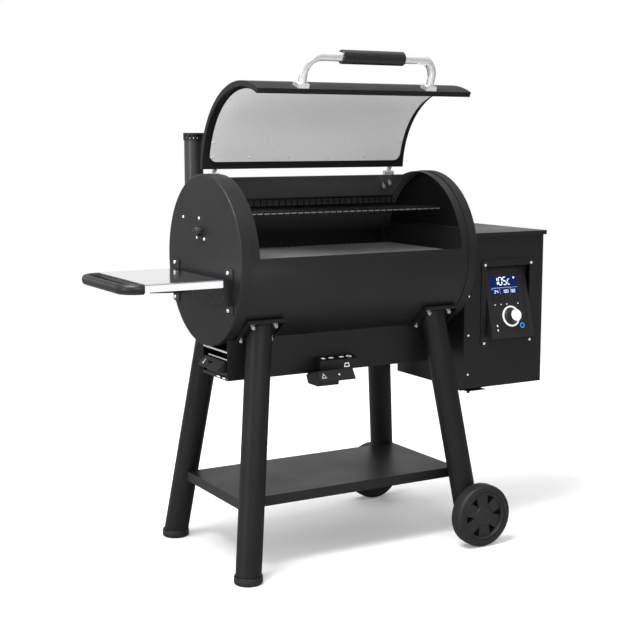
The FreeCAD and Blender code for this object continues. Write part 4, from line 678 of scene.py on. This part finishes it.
def build_panel_marks():
    """Pale marks, the lit ring round the power button, and raised rims on the panel's face."""
    bm = bmesh.new()
    for x in BUTTON_X:
        add_sheet(bm, rectangle(0.0022, -0.0016, 0.0016), 0.0002, on_panel(x, -BUTTON_ALONG, PANEL_FACE))
    for along in LAMP_ALONG:
        add_sheet(bm, rectangle(0.0022, -0.003, 0.003), 0.0002, on_panel(0.5175, along, PANEL_FACE))
    add_piece("panel_marks", bm, "mark_paint", "cabinet", "panel_resin")
    bm = bmesh.new()
    ring = [(0.0056, 0.0), (0.0082, 0.0), (0.0082, 0.0006), (0.0056, 0.0006)]
    add_lathe(bm, ring, on_panel(0.614, -0.079, PANEL_FACE), 40)
    add_piece("power_ring", bm, "blue_light", "cabinet", "display_gloss")
    bm = bmesh.new()
    button_rim = [(0.0062, 0.0), (0.0078, 0.0), (0.0074, 0.0009), (0.0064, 0.0009)]
    lamp_rim = [(0.0012, 0.0), (0.0042, 0.0), (0.0040, 0.0008), (0.0012, 0.0008)]
    lamp_dot = [(0.0, 0.0), (0.0026, 0.0), (0.0024, 0.0006), (0.0, 0.0006)]
    for x in BUTTON_X:
        add_lathe(bm, button_rim, on_panel(x, BUTTON_ALONG, PANEL_FACE), 32)
    for along in LAMP_ALONG:
        add_lathe(bm, lamp_rim, on_panel(0.5295, along, PANEL_FACE), 24)
        add_lathe(bm, lamp_dot, on_panel(0.5395, along, PANEL_FACE), 20)
    add_piece("button_rims", bm, "panel_resin", "cabinet", "panel_resin")


def build_liner_screws():
    """Small pan heads round the edge of the lid's liner."""
    bm = bmesh.new()
    head = [(0.0, 0.0), (0.0036, 0.0), (0.0034, 0.0010), (0.0022, 0.0017), (0.0, 0.0019)]
    spots = [(x, 103.0) for x in (-0.325, -0.2, -0.07, 0.07, 0.2, 0.325)]
    spots += [(sign * 0.324, angle) for sign in (-1, 1) for angle in (30, 52, 92)]
    for x, angle in spots:
        inward = (round_point(angle, 0) - round_point(angle, 1)).normalized()
        turn = Vector((0, 0, 1)).rotation_difference(inward).to_matrix().to_4x4()
        add_lathe(bm, head, OPENED @ Matrix.Translation(round_point(angle, LINER_FACE, x)) @ turn, 20)
    add_piece("liner_screws", bm, "screw_steel", "lid", "bright_steel")


def build_probe():
    """Ribbed plug of the probe port on the left cap, and the probe's rod behind it."""
    low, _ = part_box("temperature_probe")
    port, steps = Vector((-0.396, 0.016, 0.966)), 160
    base = Matrix.Translation(port) @ Matrix.Rotation(math.radians(-90), 4, "Y")
    bm = bmesh.new()
    profile = [(0.0, 0.0), (0.0140, 0.0), (0.0143, 0.002), (0.0136, 0.004), (0.0132, 0.018),
               (0.0120, 0.0198), (0.0, 0.0198)]
    add_lathe(bm, profile, base, steps, ribbing(16, steps, 0.06, (0, 0, 0, 1, 1, 0, 0)))
    add_rod(bm, port, (low.x + 0.116, port.y, port.z), 0.003, 16)
    add_piece("probe_plug", bm, "black_resin", "cabinet", "black_resin", "temperature_probe", smooth=50)


def build_drawer_rails():
    """Bright rails over the grease drawer, seen in the trough's open end."""
    bm = bmesh.new()
    for z, back, half in ((0.6300, 0.048, 0.0027), (0.6090, 0.014, 0.0018)):
        add_box(bm, (-0.3765, -0.1075, z - half), (-0.3735, back, z + half))
    add_piece("drawer_rails", bm, "polished_steel", "cabinet", "polished_steel", bevel=0.0006)


def build_hood_marks():
    """Plain bars and a ring on the cleanout hood's slope, and an outline on its face."""
    bm = bmesh.new()
    slope = Matrix.Rotation(math.atan2(0.007, 0.038), 4, "X")
    for x, half_x, half_y in ((-0.074, 0.005, 0.0055), (-0.047, 0.007, 0.004), (-0.0115, 0.007, 0.004)):
        base = Matrix.Translation((x, -0.1300, 0.59035)) @ slope
        add_sheet(bm, rectangle(half_x, -half_y, half_y), MARK_DEPTH, base)
    base = Matrix.Translation((0.014, -0.1300, 0.59035)) @ slope
    ring = [(0.0050, 0.0), (0.0082, 0.0), (0.0082, MARK_DEPTH), (0.0050, MARK_DEPTH)]
    add_lathe(bm, ring, base, 32)
    outline = [(-0.0095, -0.006), (0.0095, -0.006), (0.0065, 0.006), (-0.0065, 0.006)]
    add_outline(bm, outline, [(x * 0.76, y * 0.66) for x, y in outline], facing_y(-0.004, -0.1491, 0.569, -1))
    add_piece("hood_marks", bm, "mark_paint", "cabinet", "black_enamel")


def add_outline(bm, outer, inner, base):
    """The painted band between two outlines with the same number of corners."""
    for index in range(len(outer)):
        nxt = (index + 1) % len(outer)
        add_sheet(bm, [outer[index], outer[nxt], inner[nxt], inner[index]], MARK_DEPTH, base)


def build_pull_marks():
    """A plain triangle outline and a dot on the ash cup's sloping pull, and two bars on the drawer's."""
    slope = math.atan2(0.026, 0.018)
    base = Matrix.Translation((-0.103, -0.18470, 0.5500)) @ Matrix.Rotation(slope, 4, "X")
    bm = bmesh.new()
    outer = [(-0.009, -0.0075), (0.009, -0.0075), (0.0, 0.0085)]
    inner = [(-0.0055, -0.0055), (0.0055, -0.0055), (0.0, 0.0045)]
    add_outline(bm, outer, inner, base)
    dot = [(0.0, 0.0), (0.0024, 0.0), (0.0024, MARK_DEPTH), (0.0, MARK_DEPTH)]
    add_lathe(bm, dot, base @ Matrix.Translation((0.052, 0.0, 0)), 20)
    add_piece("pull_marks", bm, "mark_paint", "ash_slide", "black_enamel")
    slope = math.atan2(0.0255, 0.024)
    base = (Matrix.Translation((-0.3915, -0.012, 0.5889)) @ Matrix.Rotation(math.radians(-90), 4, "Z")
            @ Matrix.Rotation(slope, 4, "X"))
    bm = bmesh.new()
    shift = base @ Matrix.Translation((-0.024, 0, 0.0))
    add_sheet(bm, rectangle(0.0015, -0.002, 0.009), MARK_DEPTH, shift)
    add_sheet(bm, rectangle(0.006, -0.006, -0.0035), MARK_DEPTH, shift)
    add_piece("drawer_marks", bm, "mark_paint", "grease_slide", "black_enamel")


def rail_loop(low, high, corner, count=12):
    """A rectangle's outline whose two left corners are round, and whose right ones are nearly sharp."""
    points, sharp = [], 0.0005
    for x, y, start, radius in ((low[0], low[1], 180, corner), (high[0], low[1], 270, sharp),
                                (high[0], high[1], 0, sharp), (low[0], high[1], 90, corner)):
        middle_x = x + radius if start in (180, 90) else x - radius
        middle_y = y + radius if start in (180, 270) else y - radius
        for step in range(count + 1):
            turn = math.radians(start + 90 * step / count)
            points.append((middle_x + radius * math.cos(turn), middle_y + radius * math.sin(turn)))
    return points


def build_shelf_rail():
    """The shelf's end moulding: a fully rounded bar round a slot, flat where it meets the plate."""
    low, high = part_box("shelf_rail")
    middle, tall, reach = (low.z + high.z) / 2, (high.z - low.z) / 2, 0.0106
    slot_low, slot_high = Vector((low.x + 0.022, low.y + 0.032)), Vector((high.x - 0.010, high.y - 0.032))
    corner, slot_corner, side_limit, steps = 0.058, 0.028, 0.004, 16
    outer, inner = [], []
    bm = bmesh.new()
    for step in range(steps + 1):
        turn = math.radians(-90 + 180 * step / steps)
        inset, z = reach * (1 - math.cos(turn)), middle + tall * math.sin(turn)
        side = min(inset, side_limit)
        outside = rail_loop((low.x + inset, low.y + inset), (high.x, high.y - inset), corner - inset)
        inside = rail_loop((slot_low.x - inset, slot_low.y - inset),
                           (slot_high.x + side, slot_high.y + inset), slot_corner + inset)
        outer.append([bm.verts.new((x, y, z)) for x, y in outside])
        inner.append([bm.verts.new((x, y, z)) for x, y in inside])
    rows = outer + inner[::-1] + [outer[0]]
    for here, there in zip(rows, rows[1:]):
        for index in range(len(here)):
            nxt = (index + 1) % len(here)
            bm.faces.new((here[index], here[nxt], there[nxt], there[index]))
    add_piece("shelf_rail_moulding", bm, "black_resin", "cabinet", "black_resin", "shelf_rail", smooth=50)


def build_shaped():
    """CAD shapes whose folded or moulded edges get a small visible radius."""
    for node, look, body, width in (
            ("lower_shelf", "black_enamel", "cabinet", 0.0009),
            ("control_bezel", "black_enamel", "cabinet", 0.0010),
            ("control_panel", "panel_resin", "cabinet", 0.0012),
            ("hopper_lid", "black_enamel", "hopper_hatch", 0.0009),
            ("leg_brackets", "black_enamel", "cabinet", 0.0008),
            ("shelf_brackets", "black_enamel", "cabinet", 0.0007),
            ("ash_cup", "black_enamel", "ash_slide", 0.0006),
            ("grease_drawer", "black_enamel", "grease_slide", 0.0005)):
        softened(node, look, body, width)
    softened("side_shelf_plate", "bright_steel", "cabinet", 0.0008, smooth=8)


NODE_LOOKS = {
    "barrel_shell": "barrel_enamel",
    "left_end_cap": "cap_enamel", "right_end_cap": "cap_enamel", "lid_liner": "aluminised_sheet",
    "chimney_pipe": "flue_enamel", "lid_skin": "lid_enamel", "lid_frame": "lid_enamel",
    "front_left_leg": "leg_enamel", "rear_left_leg": "leg_enamel", "front_right_leg": "leg_enamel",
    "rear_right_leg": "leg_enamel", "hopper_bin": "galvanised", "auger_tube": "galvanised",
    "cabinet_screws": "screw_steel",
    "lid_hinge_brackets": "polished_steel", "lid_hinge_leaves": "polished_steel"}


def dress_nodes():
    """Every CAD node gets its slot's material, or its own from NODE_LOOKS."""
    slots = {part["node"]: part["material_slot"] for part in frame["record"]["subparts"]}
    for name in NODES:
        finish_node(name, NODE_LOOKS.get(name, slots[name]))


def build_pieces():
    for build in (build_seams, build_rack, build_grates, build_guard, build_feet, build_dial, build_display,
                  build_panel_marks, build_liner_screws, build_probe, build_drawer_rails, build_hood_marks,
                  build_pull_marks, build_shelf_rail, build_shaped):
        build()
    build_wheel("front", -1)
    build_wheel("rear", 1)


# ---------------------------------------------------------------- studio

def add_light(name, at, target, size, power):
    data = bpy.data.lights.new(name, "AREA")
    data.shape = "RECTANGLE"
    data.size, data.size_y = size
    data.energy = power
    light = bpy.data.objects.new(name, data)
    bpy.context.scene.collection.objects.link(light)
    light.location = at
    light.rotation_euler = (Vector(target) - Vector(at)).to_track_quat("-Z", "Y").to_euler()


def build_world():
    """White behind the object; its light is dim at the front, brighter overhead, behind and on the left."""
    world = bpy.data.worlds.new("studio")
    bpy.context.scene.world = world
    world.use_nodes = True
    nodes, links = world.node_tree.nodes, world.node_tree.links
    direction = nodes.new("ShaderNodeSeparateXYZ")
    links.new(nodes.new("ShaderNodeTexCoord").outputs["Generated"], direction.inputs[0])

    def ramp(axis, start, end, low, high):
        node = nodes.new("ShaderNodeMapRange")
        node.interpolation_type = "SMOOTHSTEP"
        for socket, number in (("From Min", start), ("From Max", end), ("To Min", low), ("To Max", high)):
            node.inputs[socket].default_value = number
        links.new(direction.outputs[axis], node.inputs["Value"])
        return node.outputs["Result"]

    def joined(operation, first, second):
        node = nodes.new("ShaderNodeMath")
        node.operation = operation
        links.new(first, node.inputs[0])
        links.new(second, node.inputs[1])
        return node.outputs[0]

    total = joined("ADD", ramp("Z", 0.2, 1.0, 0.32, 0.8), ramp("X", -0.2, -1.0, 0.0, 0.3))
    total = joined("ADD", total, ramp("Z", -0.05, -0.6, 0.0, -0.18))
    band = joined("MULTIPLY", ramp("Z", 0.0, 0.06, 0.0, 1.0), ramp("Z", 0.2, 0.3, 1.0, 0.0))
    back = joined("MULTIPLY", band, ramp("Y", 0.2, 0.7, 0.0, 0.75))
    seen = nodes.new("ShaderNodeMix")
    seen.inputs[3].default_value = 1.0
    links.new(nodes.new("ShaderNodeLightPath").outputs["Is Camera Ray"], seen.inputs[0])
    links.new(joined("ADD", total, back), seen.inputs[2])
    links.new(seen.outputs[0], nodes["Background"].inputs["Strength"])
    nodes["Background"].inputs["Color"].default_value = (1, 1, 1, 1)


def build_studio():
    """A pale round floor, the world and the lights."""
    bm = bmesh.new()
    bmesh.ops.create_circle(bm, cap_ends=True, segments=128, radius=3.6)
    mesh = bpy.data.meshes.new("studio_floor")
    bm.to_mesh(mesh)
    bm.free()
    floor = bpy.data.objects.new("studio_floor", mesh)
    floor.location = (0, 0, -0.0006)
    bpy.context.scene.collection.objects.link(floor)
    mesh.materials.append(LOOK["floor"])
    build_world()
    add_light("side_box", (-3.9, -0.9, 1.3), (0, 0, 0.7), (0.8, 2.4), 30)
    add_light("key_box", (-1.9, -0.7, 4.5), (0, 0, 0.4), (2.2, 2.2), 270)
    add_light("top_box", (0.6, 0.6, 4.8), (0, 0, 0.6), (4.6, 4.0), 35)
    add_light("chamber_box", (-1.0, -3.6, 2.2), (0.1, 0.1, 1.0), (1.6, 0.8), 38)
    add_light("lip_card", (-0.205, -0.95, 0.740), (-0.54, -0.19, 0.837), (0.56, 0.18), 0.45)


def build_camera():
    tilt, turn = 8.21, 29.98
    data = bpy.data.cameras.new("camera")
    data.sensor_width = 36.0
    data.lens = 71.46
    data.clip_end = 60
    camera = bpy.data.objects.new("camera", data)
    bpy.context.scene.collection.objects.link(camera)
    camera.location = (-1.91626, -3.30534, 1.23436)
    camera.rotation_euler = (math.radians(90 - tilt), 0, math.radians(-turn))
    bpy.context.scene.camera = camera
    bpy.context.scene.view_settings.view_transform = "Standard"


dress_nodes()
build_pieces()
build_studio()
build_camera()
